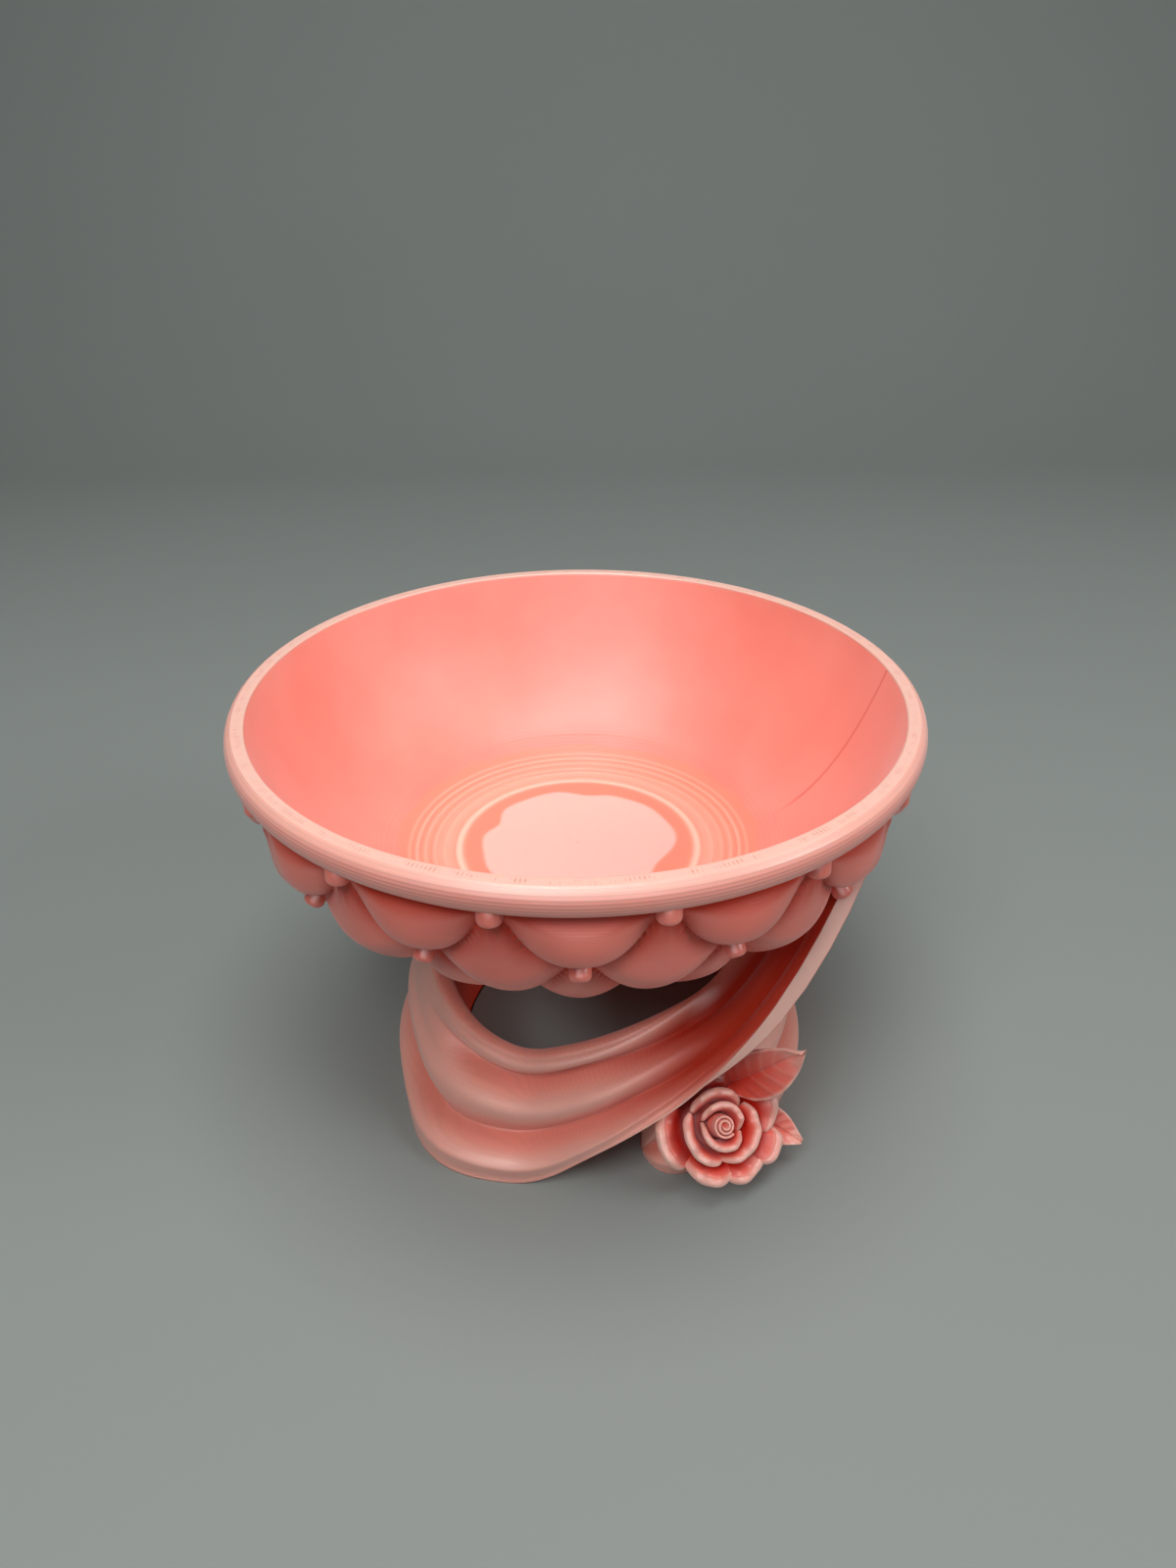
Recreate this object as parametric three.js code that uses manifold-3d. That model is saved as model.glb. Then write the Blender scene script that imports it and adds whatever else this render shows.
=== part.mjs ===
// A pedestal bowl: a smooth round bowl with a rolled rim and a buttoned, quilted outside,
// carried by two draped ribbons that swirl round an open well, with a rose at the foot.
// Millimetres, +Z up, origin on the table under the middle of the bowl.
import * as THREE from 'three';
import { mergeVertices } from 'three/addons/utils/BufferGeometryUtils.js';
import Module from 'manifold-3d';

const wasm = await Module();
wasm.setup();

// Bowl sizes
const RIM_RADIUS = 100;
const RIM_HEIGHT = 135;
const BOWL_DEPTH = 56.1;
const FLOOR_RADIUS = 37.5;
const WALL = 2.2;
const WALL_LEAN = 16.5;
const WALL_HANDLE = 42.7;
const FLOOR_HANDLE = 28.5;
const BEAD_WIDTH = 5.7;
const BEAD_HEIGHT = 8.4;

// Quilted jacket sizes: its swell is a curve from under the rim over a shoulder and a haunch
const JACKET_INSET = 4.5;
const SHOULDER_REACH = 4;
const SHOULDER_DROP = 17.4;
const HAUNCH_INSET = 11;
const HAUNCH_DROP = 34.2;
const SEAT_RADIUS = 60;
const SEAT_INNER_RADIUS = 47;
const SEAT_DROP = 4.7;
const JACKET_SKIN = 1.6;
const TUFT_COUNT = 15;
const UPPER_BUTTON_DROP = 10;
const LOWER_BUTTON_DROP = 29;
const LAST_ROW_LENGTH = 36;
const CREASE_FILL = 0.3;

// Button sizes
const BUTTON_RADIUS = 3;
const BUTTON_HEIGHT = 3.6;
const BUTTON_DOME = 1.1;
const BUTTON_POCKET = 0.6;

// Stand sizes: angles in degrees, counter-clockwise from +X round the stand's own axis
const STAND_OFFSET = 6.5;
const FOOT_RADIUS = 70;
const FOOT_BULGE = 9;
const FOOT_BULGE_AT = 229;
const FOOT_BULGE_SPAN = 20;
const FOOT_WIDTH = 24;
const RIBBON_START = 102;
const RIBBON_END = 331;
const START_ROUND = 9;
const END_ROUND = 26;
const END_INSET = 14;
const END_RISE = 16;
const LIFT_AT = 253;
const LIFT_BLEND = 7;
const LIFT_SPAN = 20;
const LIFT_RISE = 21;
const SWEEP_AT = 284;
const SWEEP_SPAN = 34;
const SWEEP_RISE = 45;
const FLARE_AT = 256;
const FLARE_SPAN = 62;
const FLARE_REACH = 27;

// Lip, thickness and folds of a ribbon: its lip stays within the bowl's seat by an inset
const LIP_INSET = 3;
const LIP_HEIGHT = 36;
const LIP_CREST = 14;
const LIP_CREST_AT = 180;
const LIP_CREST_SPAN = 28;
const LIP_LIFT_AT = 245;
const LIP_LIFT_RISE = 8.4;
const LIP_SWEEP_AT = 300;
const LIP_SWEEP_SPAN = 26;
const LIP_SWEEP_RISE = 8;
const LIP_THICKNESS = 5;
const BAND_THICKNESS = 7;
const BAND_FROM = 240;
const BAND_TO = 290;
const FOLD_DEPTH = 2.4;
const FOLD_FIRST = 0.13;
const FOLD_PITCH = 0.4;

// Rose sizes: it sits on the start of the rear ribbon and looks out and up
const ROSE_ANGLE = 117;
const ROSE_HEIGHT = 19;
const ROSE_STANDOFF = 7.4;
const ROSE_SWING = -9;
const ROSE_TILT = 45;
const ROSE_RADIUS = 20;
const ROSE_DEPTH = 13;
const CALYX_RADIUS = 12;
const CALYX_DEPTH = 11;
const BUD_RADIUS = 3.2;
const BUD_FOOT = 2;
const BUD_NECK = 0.67;
const BUD_CROWN = 0.7;
const PETAL_THICKNESS = 1.3;
const PETAL_CORNER = 0.25;
const PETAL_BEND = [0.33, 0.6];
const LEAF_THICKNESS = 1.8;
const LEAF_DISH = 0.08;
const LEAF_STEM = 0.12;
const LEAF_ROUND = 0.8;

// Rings of petals from the bud out. Radii at root and lip are shares of the rose's radius, and
// heights shares of its depth. Turns are where each petal starts, in degrees, and lips its reach.
const PETAL_RINGS = [
  { name: 'rose_petal_heart', root: 0.23, low: 0.2, high: 0.96, droop: 0.05, turns: [-30, 150],
    lips: [0.28, 0.29] },
  { name: 'rose_petal_inner', root: 0.37, low: 0.16, high: 0.8, droop: 0.1, turns: [24, 144, 264],
    lips: [0.46, 0.5, 0.52] },
  { name: 'rose_petal_outer', root: 0.53, low: 0.06, high: 0.5, droop: 0.12,
    turns: [-24, 50, 134, 216, 272, 307], lips: [0.87, 0.66, 0.82, 0.78, 0.86, 1] },
];

// A leaf's stem stands at a turn round the flower, in degrees, at shares of the rose's radius and
// depth. Its tip is an offset from the middle of the rose in shares of the radius.
const LEAVES = [
  { name: 'leaf_upper', stem: [60, 0.64, 0.46], tip: [1.25, -0.15, 1.7], bow: 0.08, width: 0.7,
    face: [1, -8, 6] },
  { name: 'leaf_lower', stem: [5, 0.45, -0.12], tip: [1.38, 0.08, -0.49], bow: 0.06, width: 0.5,
    face: [5, -8, 4] },
];

const CLEARANCE = 0.3;

// Radii and heights that follow from the sizes above
const MOUTH_RADIUS = RIM_RADIUS - BEAD_WIDTH;
const FLOOR_HEIGHT = RIM_HEIGHT - BOWL_DEPTH;
const SEAT_HEIGHT = FLOOR_HEIGHT - WALL - SEAT_DROP;
const BEAD_FLOOR = RIM_HEIGHT - BEAD_HEIGHT;
const JACKET_TOP = BEAD_FLOOR - CLEARANCE;
const JACKET_TOP_RADIUS = RIM_RADIUS - JACKET_INSET;
const LINER_TOP = RIM_HEIGHT - BEAD_HEIGHT / 2;
const LIP_RADIUS = SEAT_RADIUS - LIP_INSET;
const FLARE = SEAT_RADIUS + FLARE_REACH - FOOT_RADIUS;

// Facets
const TUFT_STEPS = 6;
const JACKET_COLUMNS = TUFT_COUNT * TUFT_STEPS;
const JACKET_ROWS = 11;
const ROUND_STEPS = 48;
const WALL_STEPS = 7;
const NOSE_STEPS = 6;
const CURVE_SAMPLES = 400;
const BUTTON_SIDES = 8;
const ROSE_STEPS = 24;
const PETAL_STEPS = 5;
const LEAF_STEPS = 8;
const RIBBON_STEP = 6;
const FOLD_STEPS = 8;
const BAND_STEPS = 3;

const { lerp, smoothstep, clamp, degToRad, radToDeg } = THREE.MathUtils;
const bump = (x, middle, span) => Math.exp(-(((x - middle) / span) ** 2));
const past = (x, from, span) => Math.max(0, (x - from) / span) ** 2;

// Zero before the bend, then rising one for one, with a round bend between.
function ramp(x, from, blend) {
  const into = clamp(x - from + blend, 0, 2 * blend);
  return into ** 2 / (4 * blend) + Math.max(0, x - from - blend);
}

function finish(positions, triangles) {
  const geometry = new THREE.BufferGeometry();
  geometry.setAttribute('position', new THREE.Float32BufferAttribute(positions, 3));
  geometry.setIndex(triangles);
  return geometry;
}

// Six times the volume inside a closed mesh, negative when its faces point inwards.
function signedVolume(geometry) {
  const position = geometry.attributes.position;
  const index = geometry.index;
  const corner = [new THREE.Vector3(), new THREE.Vector3(), new THREE.Vector3()];
  let volume = 0;
  for (let i = 0; i < index.count; i += 3) {
    corner.forEach((point, k) => point.fromBufferAttribute(position, index.getX(i + k)));
    volume += corner[0].dot(corner[1].clone().cross(corner[2]));
  }
  return volume;
}

function facingOut(geometry) {
  if (signedVolume(geometry) < 0) {
    const index = Array.from(geometry.index.array);
    for (let i = 0; i < index.length; i += 3) {
      [index[i + 1], index[i + 2]] = [index[i + 2], index[i + 1]];
    }
    geometry.setIndex(index);
  }
  return geometry;
}

// Closes one end of a loft with a fan round the middle of its loop.
function capEnd(positions, triangles, loop, first, reversed) {
  const middle = new THREE.Vector3();
  loop.forEach((point) => middle.addScaledVector(point, 1 / loop.length));
  const centre = positions.length / 3;
  positions.push(middle.x, middle.y, middle.z);
  for (let j = 0; j < loop.length; j += 1) {
    const pair = [first + j, first + ((j + 1) % loop.length)];
    triangles.push(centre, ...(reversed ? pair.reverse() : pair));
  }
}

// Joins equal loops of points into one closed body. A ring of loops closes on itself,
// and otherwise the first and last loop are capped.
function loft(loops, ring) {
  const size = loops[0].length;
  const positions = [];
  const triangles = [];
  loops.forEach((loop) => loop.forEach((point) => positions.push(point.x, point.y, point.z)));
  const spans = ring ? loops.length : loops.length - 1;
  for (let i = 0; i < spans; i += 1) {
    const here = i * size;
    const next = ((i + 1) % loops.length) * size;
    for (let j = 0; j < size; j += 1) {
      const side = (j + 1) % size;
      triangles.push(here + j, here + side, next + side, here + j, next + side, next + j);
    }
  }
  if (!ring) {
    const last = loops.length - 1;
    capEnd(positions, triangles, loops[0], 0, true);
    capEnd(positions, triangles, loops[last], last * size, false);
  }
  return facingOut(finish(positions, triangles));
}

// Merges shared corners and drops the triangles that this leaves with no area.
function merged(geometry) {
  const bare = geometry.clone();
  bare.deleteAttribute('normal');
  bare.deleteAttribute('uv');
  const joined = mergeVertices(bare, 1e-5);
  const index = joined.index.array;
  const kept = [];
  for (let i = 0; i < index.length; i += 3) {
    const [a, b, c] = [index[i], index[i + 1], index[i + 2]];
    if (a !== b && b !== c && c !== a) {
      kept.push(a, b, c);
    }
  }
  joined.setIndex(kept);
  return joined;
}

// A profile of [radius, height] turned round +Z.
function turned(profile, steps) {
  const geometry = new THREE.LatheGeometry(profile.map(([r, z]) => new THREE.Vector2(r, z)), steps);
  geometry.rotateX(Math.PI / 2);
  return facingOut(merged(geometry));
}

function toSolid(geometry) {
  return new wasm.Manifold(new wasm.Mesh({
    numProp: 3,
    vertProperties: new Float32Array(geometry.attributes.position.array),
    triVerts: new Uint32Array(geometry.index.array),
  }));
}

function cut(geometry, cutters) {
  const solid = cutters.reduce((rest, cutter) => rest.subtract(toSolid(cutter)), toSolid(geometry));
  const mesh = solid.getMesh();
  return finish(Array.from(mesh.vertProperties), Array.from(mesh.triVerts));
}

// A point of a plane through the axis, swung to an angle in radians round that axis.
function swung(r, z, angle) {
  return new THREE.Vector3(r * Math.cos(angle), r * Math.sin(angle), z);
}

// The smooth inside wall: a curve from the mouth, down a leaning wall, to the flat floor.
function insideCurve() {
  const lean = degToRad(WALL_LEAN);
  return new THREE.CubicBezierCurve(
    new THREE.Vector2(MOUTH_RADIUS, RIM_HEIGHT),
    new THREE.Vector2(MOUTH_RADIUS - WALL_HANDLE * Math.sin(lean), RIM_HEIGHT - WALL_HANDLE * Math.cos(lean)),
    new THREE.Vector2(FLOOR_RADIUS + FLOOR_HANDLE, FLOOR_HEIGHT),
    new THREE.Vector2(FLOOR_RADIUS, FLOOR_HEIGHT),
  );
}

// A curve's points moved square to it by an offset, to the left of its way from start to end.
function offsetPoints(curve, offset, steps) {
  const points = [];
  for (let i = 0; i <= steps; i += 1) {
    const point = curve.getPoint(i / steps);
    const along = curve.getTangent(i / steps);
    points.push([point.x - along.y * offset, point.y + along.x * offset]);
  }
  return points;
}

// Points of the wall at an offset outside its inside curve, from a height down to the floor's edge.
function wallPoints(offset, top) {
  const finer = 4;
  const points = offsetPoints(insideCurve(), offset, WALL_STEPS * finer);
  const first = points.findIndex(([, z]) => z <= top);
  const [above, below] = [points[first - 1], points[first]];
  const share = (above[1] - top) / (above[1] - below[1]);
  const start = [lerp(above[0], below[0], share), top];
  const rest = points.slice(first + 1).filter((_, i, list) => (list.length - 1 - i) % finer === 0);
  return [start, ...rest];
}

function bowlLiner() {
  const inner = wallPoints(0, LINER_TOP);
  const outer = wallPoints(WALL, LINER_TOP);
  const profile = [[0, FLOOR_HEIGHT], ...inner.reverse(), ...outer, [0, FLOOR_HEIGHT - WALL]];
  return turned(profile, ROUND_STEPS);
}

// The round nose of the rim, from its heel under the rim up to its crest, grown by a clearance.
function nosePoints(grow) {
  const [heel, crest] = [-78, 66];
  const middle = [RIM_RADIUS - BEAD_WIDTH / 2, RIM_HEIGHT - BEAD_HEIGHT / 2];
  const reach = [BEAD_WIDTH / 2 + grow, BEAD_HEIGHT / 2 + grow];
  const nose = [];
  for (let i = 0; i <= NOSE_STEPS; i += 1) {
    const angle = degToRad(lerp(heel, crest, i / NOSE_STEPS));
    nose.push([middle[0] + Math.cos(angle) * reach[0], middle[1] + Math.sin(angle) * reach[1]]);
  }
  nose.push([middle[0], middle[1] + reach[1]]);
  return nose;
}

// The rolled rim caps the liner: a flat crest, a round nose and a step for the liner's edge.
function rimBead() {
  const edge = wallPoints(0, LINER_TOP + CLEARANCE)[0];
  const seat = wallPoints(WALL + CLEARANCE, LINER_TOP + CLEARANCE)[0];
  const heel = wallPoints(WALL + CLEARANCE, BEAD_FLOOR)[0];
  return turned([edge, seat, heel, ...nosePoints(0), [MOUTH_RADIUS, RIM_HEIGHT], edge], ROUND_STEPS);
}

// The rim with a clearance, for trimming the buttons tucked under it.
function rimSpace() {
  const inside = MOUTH_RADIUS - WALL;
  const profile = [[inside, BEAD_FLOOR - CLEARANCE], ...nosePoints(CLEARANCE), [inside, RIM_HEIGHT]];
  return turned([...profile, profile[0]], ROUND_STEPS);
}

// The outer swell of the jacket, from under the rim to the seat ring.
function jacketCurve() {
  return new THREE.CubicBezierCurve(
    new THREE.Vector2(JACKET_TOP_RADIUS, JACKET_TOP),
    new THREE.Vector2(RIM_RADIUS + SHOULDER_REACH, JACKET_TOP - SHOULDER_DROP),
    new THREE.Vector2(RIM_RADIUS - HAUNCH_INSET, JACKET_TOP - HAUNCH_DROP),
    new THREE.Vector2(SEAT_RADIUS, SEAT_HEIGHT),
  );
}

// The step along a curve at which it has come down to a height.
function stepAtHeight(curve, height) {
  let step = 0;
  while (step < CURVE_SAMPLES && curve.getPoint(step / CURVE_SAMPLES).y > height) {
    step += 1;
  }
  return step;
}

// How far down the jacket a point lies in button rows: 0 is the upper row and 1 the lower.
function rowAt(curve, at) {
  const lengths = curve.getLengths(CURVE_SAMPLES);
  const upper = lengths[stepAtHeight(curve, RIM_HEIGHT - UPPER_BUTTON_DROP)];
  const lower = lengths[stepAtHeight(curve, RIM_HEIGHT - LOWER_BUTTON_DROP)];
  const here = lengths[Math.round(at * CURVE_SAMPLES)];
  return here < lower ? (here - upper) / (lower - upper) : 1 + (here - lower) / LAST_ROW_LENGTH;
}

// Fullness of a cushion, 0 under a button and 1 in the middle, with shallow creases between.
function fullness(column, row) {
  const one = Math.abs(Math.cos(Math.PI * (column + row / 2)));
  const other = Math.abs(Math.cos(Math.PI * (column - row / 2)));
  const crease = CREASE_FILL * (one + other - one * other);
  return crease + (1 - CREASE_FILL) * Math.sqrt(one * other);
}

// The foot on a wall line of the shortest way from a point, and the length of that way.
function nearest(point, wall) {
  let best = { gap: Infinity, foot: wall[0] };
  for (let i = 0; i + 1 < wall.length; i += 1) {
    const [a, b] = [wall[i], wall[i + 1]];
    const line = [b[0] - a[0], b[1] - a[1]];
    const along = (point.x - a[0]) * line[0] + (point.y - a[1]) * line[1];
    const share = clamp(along / (line[0] ** 2 + line[1] ** 2), 0, 1);
    const foot = [a[0] + line[0] * share, a[1] + line[1] * share];
    const gap = Math.hypot(point.x - foot[0], point.y - foot[1]);
    if (gap < best.gap) {
      best = { gap, foot };
    }
  }
  return best;
}

// Places down the jacket's outside, each with its row, its full point and its hollow point.
function jacketStations() {
  const curve = jacketCurve();
  const wall = wallPoints(WALL + CLEARANCE, JACKET_TOP);
  const stations = [];
  for (let i = 0; i <= JACKET_ROWS; i += 1) {
    const full = curve.getPoint(i / JACKET_ROWS);
    const { gap, foot } = nearest(full, wall);
    const skin = Math.min(1, JACKET_SKIN / gap);
    const hollow = [lerp(foot[0], full.x, skin), lerp(foot[1], full.y, skin)];
    const row = rowAt(curve, i / JACKET_ROWS);
    stations.push({ full: [full.x, full.y], hollow, row, closed: i === JACKET_ROWS });
  }
  return stations;
}

function jacketPoint({ full, hollow, row, closed }, column) {
  const fill = closed ? 1 : fullness(column, row);
  return [lerp(hollow[0], full[0], fill), lerp(hollow[1], full[1], fill)];
}

// The jacket wraps the liner down to a flat seat ring and has a pocket for each button.
function quiltedJacket() {
  const stations = jacketStations();
  const wall = wallPoints(WALL + CLEARANCE, JACKET_TOP).filter(([r]) => r >= SEAT_INNER_RADIUS);
  const inside = [[SEAT_INNER_RADIUS, SEAT_HEIGHT], ...wall.reverse()];
  const loops = [];
  for (let k = 0; k < JACKET_COLUMNS; k += 1) {
    const column = k / TUFT_STEPS;
    const section = [...stations.map((station) => jacketPoint(station, column)), ...inside];
    loops.push(section.map(([r, z]) => swung(r, z, tuftAngle(column))));
  }
  return cut(loft(loops, true), allButtons().map(buttonPocket));
}

// Angle of a tuft column round the bowl; column 0 faces the front, along -Y.
function tuftAngle(column) {
  return degToRad(-90 + (column * 360) / TUFT_COUNT);
}

function allButtons() {
  const places = [];
  for (let k = 0; k < TUFT_COUNT; k += 1) {
    places.push({ name: `button_upper_${k + 1}`, column: k + 0.5, drop: UPPER_BUTTON_DROP });
    places.push({ name: `button_lower_${k + 1}`, column: k, drop: LOWER_BUTTON_DROP });
  }
  return places;
}

// Stands a turned shape on the jacket where a button sits, square to the bowl's wall.
function onJacket(geometry, { column, drop }) {
  const curve = jacketCurve();
  const full = curve.getPoint(stepAtHeight(curve, RIM_HEIGHT - drop) / CURVE_SAMPLES);
  const { gap, foot } = nearest(full, wallPoints(WALL + CLEARANCE, JACKET_TOP));
  const out = [(full.x - foot[0]) / gap, (full.y - foot[1]) / gap];
  const base = foot.map((value, i) => value + out[i] * (JACKET_SKIN - BUTTON_POCKET));
  const angle = tuftAngle(column);
  const turn = new THREE.Quaternion().setFromUnitVectors(new THREE.Vector3(0, 0, 1), swung(...out, angle));
  const place = swung(...base, angle);
  return geometry.applyQuaternion(turn).translate(place.x, place.y, place.z);
}

// A peg with a domed head, trimmed where it tucks under the rim.
function button(place) {
  const neck = BUTTON_HEIGHT - BUTTON_DOME;
  const crown = [BUTTON_RADIUS - BUTTON_DOME, BUTTON_HEIGHT];
  const profile = [[0, 0], [BUTTON_RADIUS, 0], [BUTTON_RADIUS, neck], crown, [0, BUTTON_HEIGHT]];
  return cut(onJacket(turned(profile, BUTTON_SIDES), place), [rimSpace()]);
}

function buttonPocket(place) {
  const radius = BUTTON_RADIUS + CLEARANCE;
  const top = BUTTON_HEIGHT * 2;
  const profile = [[0, -CLEARANCE], [radius, -CLEARANCE], [radius, top], [0, top]];
  return onJacket(turned(profile, BUTTON_SIDES), place);
}

// Radius and height of a ribbon's lower edge at an angle round the stand.
function lowerEdge(angle) {
  const bulge = FOOT_BULGE * bump(angle, FOOT_BULGE_AT, FOOT_BULGE_SPAN);
  const radius = FOOT_RADIUS + bulge + FLARE * past(angle, FLARE_AT, FLARE_SPAN);
  const lift = (LIFT_RISE * ramp(angle, LIFT_AT, LIFT_BLEND)) / LIFT_SPAN;
  return new THREE.Vector2(radius, lift + SWEEP_RISE * past(angle, SWEEP_AT, SWEEP_SPAN));
}

// Radius and height of a ribbon's lip at an angle round the stand.
function lipEdge(angle) {
  const crest = LIP_CREST * bump(angle, LIP_CREST_AT, LIP_CREST_SPAN);
  const lift = (LIP_LIFT_RISE * ramp(angle, LIP_LIFT_AT, LIFT_BLEND)) / LIFT_SPAN;
  const sweep = LIP_SWEEP_RISE * past(angle, LIP_SWEEP_AT, LIP_SWEEP_SPAN);
  return new THREE.Vector2(LIP_RADIUS, LIP_HEIGHT + crest + lift + sweep);
}

// Shares of the way from the lower edge to the lip, with a point on each ridge and in each valley.
function foldShares() {
  const shares = [0, FOLD_FIRST / 2];
  for (let k = 0; k <= FOLD_STEPS && FOLD_FIRST + (k * FOLD_PITCH) / 4 < 1; k += 1) {
    shares.push(FOLD_FIRST + (k * FOLD_PITCH) / 4);
  }
  return [...shares, 1];
}

// One section of a ribbon in [radius, height]: folds outside, a rolled lip and a plain inner face.
function ribbonSection(angle, grow) {
  const lower = lowerEdge(angle);
  const lip = lipEdge(angle);
  const up = lip.clone().sub(lower).normalize();
  const out = new THREE.Vector2(up.y, -up.x);
  const foot = lerp(FOOT_WIDTH, BAND_THICKNESS, smoothstep(angle, BAND_FROM, BAND_TO));
  const at = (share, rise, side) => {
    const point = lower.clone().lerp(lip, share);
    return point.addScaledVector(up, rise).addScaledVector(out, side);
  };
  const outer = foldShares().map((share) => {
    const fold = FOLD_DEPTH * Math.cos((2 * Math.PI * (share - FOLD_FIRST)) / FOLD_PITCH);
    return at(share, share === 1 ? grow : 0, fold * Math.min(1, share / FOLD_FIRST) + grow);
  });
  const roll = at(1, LIP_THICKNESS / 4 + grow, -LIP_THICKNESS / 2);
  const inner = [];
  for (let k = BAND_STEPS; k >= 0; k -= 1) {
    const share = k / BAND_STEPS;
    inner.push(at(share, k === 0 ? -grow : 0, -lerp(foot, LIP_THICKNESS, share) - grow));
  }
  return [...outer, roll, ...inner].map(({ x, y }) => new THREE.Vector2(x, Math.max(y, 0)));
}

// Angles of a ribbon's sections, closer together where its two ends are rounded off.
function ribbonAngles() {
  const from = RIBBON_START + START_ROUND;
  const to = RIBBON_END - END_ROUND / 2;
  const count = Math.round((to - from) / RIBBON_STEP);
  const closer = [1, 2, 3].map((k) => (k / 4) ** 2);
  const angles = closer.map((share) => RIBBON_START + START_ROUND * share);
  for (let k = 0; k <= count; k += 1) {
    angles.push(lerp(from, to, k / count));
  }
  return [...angles, ...closer.reverse().map((share) => RIBBON_END - (END_ROUND * share) / 2)];
}

// A ribbon's sections shrink to its foot at the start, and to a point inside the bowl at the end.
function ribbonBody(grow) {
  const foot = new THREE.Vector2(FOOT_RADIUS - FOOT_WIDTH / 2, 0);
  const head = new THREE.Vector2(SEAT_RADIUS + END_INSET, SEAT_HEIGHT + END_RISE);
  const loops = ribbonAngles().map((angle) => {
    const started = Math.min(1, (angle - RIBBON_START) / START_ROUND);
    const ending = Math.min(1, (RIBBON_END - angle) / END_ROUND);
    const size = Math.sqrt(1 - (1 - Math.min(started, ending)) ** 2);
    const centre = started < ending ? foot : head;
    const section = ribbonSection(angle, grow).map((point) => point.lerp(centre, 1 - size));
    return section.map(({ x, y }) => swung(x, y, degToRad(angle)));
  });
  return loft(loops, false);
}

// The space that the quilted bowl fills, with a clearance, for cutting what seats under it.
function bowlSpace() {
  const under = SEAT_HEIGHT - CLEARANCE;
  const swell = offsetPoints(jacketCurve(), CLEARANCE, JACKET_ROWS).reverse();
  const top = [[JACKET_TOP_RADIUS, RIM_HEIGHT], [0, RIM_HEIGHT]];
  return turned([[0, under], [SEAT_RADIUS, under], ...swell, ...top], JACKET_COLUMNS);
}

// The front ribbon, or the rear one, which is the same body turned half round the stand's axis.
function ribbon(half, grow = 0) {
  return ribbonBody(grow).rotateZ(half * Math.PI).translate(STAND_OFFSET, 0, 0);
}

// The rose's own frame: its origin stands off the rear ribbon's face, and +Z is the way it looks.
function roseFrame() {
  const lower = lowerEdge(ROSE_ANGLE);
  const lip = lipEdge(ROSE_ANGLE);
  const face = lerp(lower.x, lip.x, (ROSE_HEIGHT - lower.y) / (lip.y - lower.y));
  const centre = swung(face + ROSE_STANDOFF, ROSE_HEIGHT, degToRad(ROSE_ANGLE + 180));
  centre.x += STAND_OFFSET;
  const turn = degToRad(ROSE_ANGLE + 180 + ROSE_SWING);
  const tilt = degToRad(ROSE_TILT);
  const facing = swung(Math.cos(tilt), Math.sin(tilt), turn);
  const side = new THREE.Vector3(-Math.sin(turn), Math.cos(turn), 0);
  return new THREE.Matrix4().makeBasis(side, facing.clone().cross(side), facing).setPosition(centre);
}

// The line of a petal in [radius, height] from its root by its bend to its lip, at a share of the
// way across it. Its corners are drawn in and droop.
function petalLine({ root, low, high, droop }, lip, across) {
  const corner = Math.abs(2 * across - 1) ** 3;
  const reach = ROSE_RADIUS * lerp(lip, root, corner * PETAL_CORNER);
  const top = ROSE_DEPTH * (high - droop * corner);
  const [foot, bed] = [ROSE_RADIUS * root, ROSE_DEPTH * low];
  return [[foot, bed], [lerp(foot, reach, PETAL_BEND[0]), lerp(bed, top, PETAL_BEND[1])], [reach, top]];
}

// The outline of a bent strip along a line, level at its root. It grows by a clearance all round.
function stripOutline(line, thickness, grow) {
  const points = line.map(([r, z]) => new THREE.Vector2(r, z));
  const last = points.length - 1;
  const ways = points.map((_, i) => {
    const [here, next] = [points[Math.max(i - 1, 0)], points[Math.min(i + 1, last)]];
    return next.clone().sub(here).normalize();
  });
  ways[0].set(0, 1);
  points[0].addScaledVector(ways[0], -grow);
  points[last].addScaledVector(ways[last], grow);
  const side = (i, reach) => [points[i].x - ways[i].y * reach, points[i].y + ways[i].x * reach];
  const reach = thickness / 2 + grow;
  return [...points.map((_, i) => side(i, reach)), ...points.map((_, i) => side(i, -reach)).reverse()];
}

// A petal is a bent shell round the flower's axis, between two angles.
function petal(ring, lip, from, to, grow) {
  const loops = [];
  for (let i = 0; i <= PETAL_STEPS; i += 1) {
    const outline = stripOutline(petalLine(ring, lip, i / PETAL_STEPS), PETAL_THICKNESS, grow);
    const angle = degToRad(lerp(from, to, i / PETAL_STEPS));
    loops.push(outline.map(([r, z]) => swung(r, z, angle)));
  }
  return loft(loops, false);
}

// Where a petal of a ring starts and where the next one does, in degrees.
function petalSpan({ turns }, k) {
  return [turns[k], turns[k + 1] ?? turns[0] + 360];
}

// All petals with a clearance between them, or grown by a clearance for trimming what touches them.
function rosePetals(grow = 0) {
  const petals = [];
  PETAL_RINGS.forEach((ring) => {
    const gap = radToDeg((CLEARANCE / 2 - grow) / (ring.root * ROSE_RADIUS));
    ring.turns.forEach((turn, k) => {
      const [from, to] = petalSpan(ring, k);
      const geometry = petal(ring, ring.lips[k], from + gap, to - gap, grow);
      petals.push({ name: `${ring.name}_${k + 1}`, geometry });
    });
  });
  return petals;
}

function roseBud() {
  const neck = [BUD_RADIUS, lerp(BUD_FOOT, ROSE_DEPTH, BUD_NECK)];
  const crown = [BUD_RADIUS * BUD_CROWN, ROSE_DEPTH];
  return turned([[0, BUD_FOOT], [BUD_RADIUS, BUD_FOOT], neck, crown, [0, ROSE_DEPTH]], ROSE_STEPS / 2);
}

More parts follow.
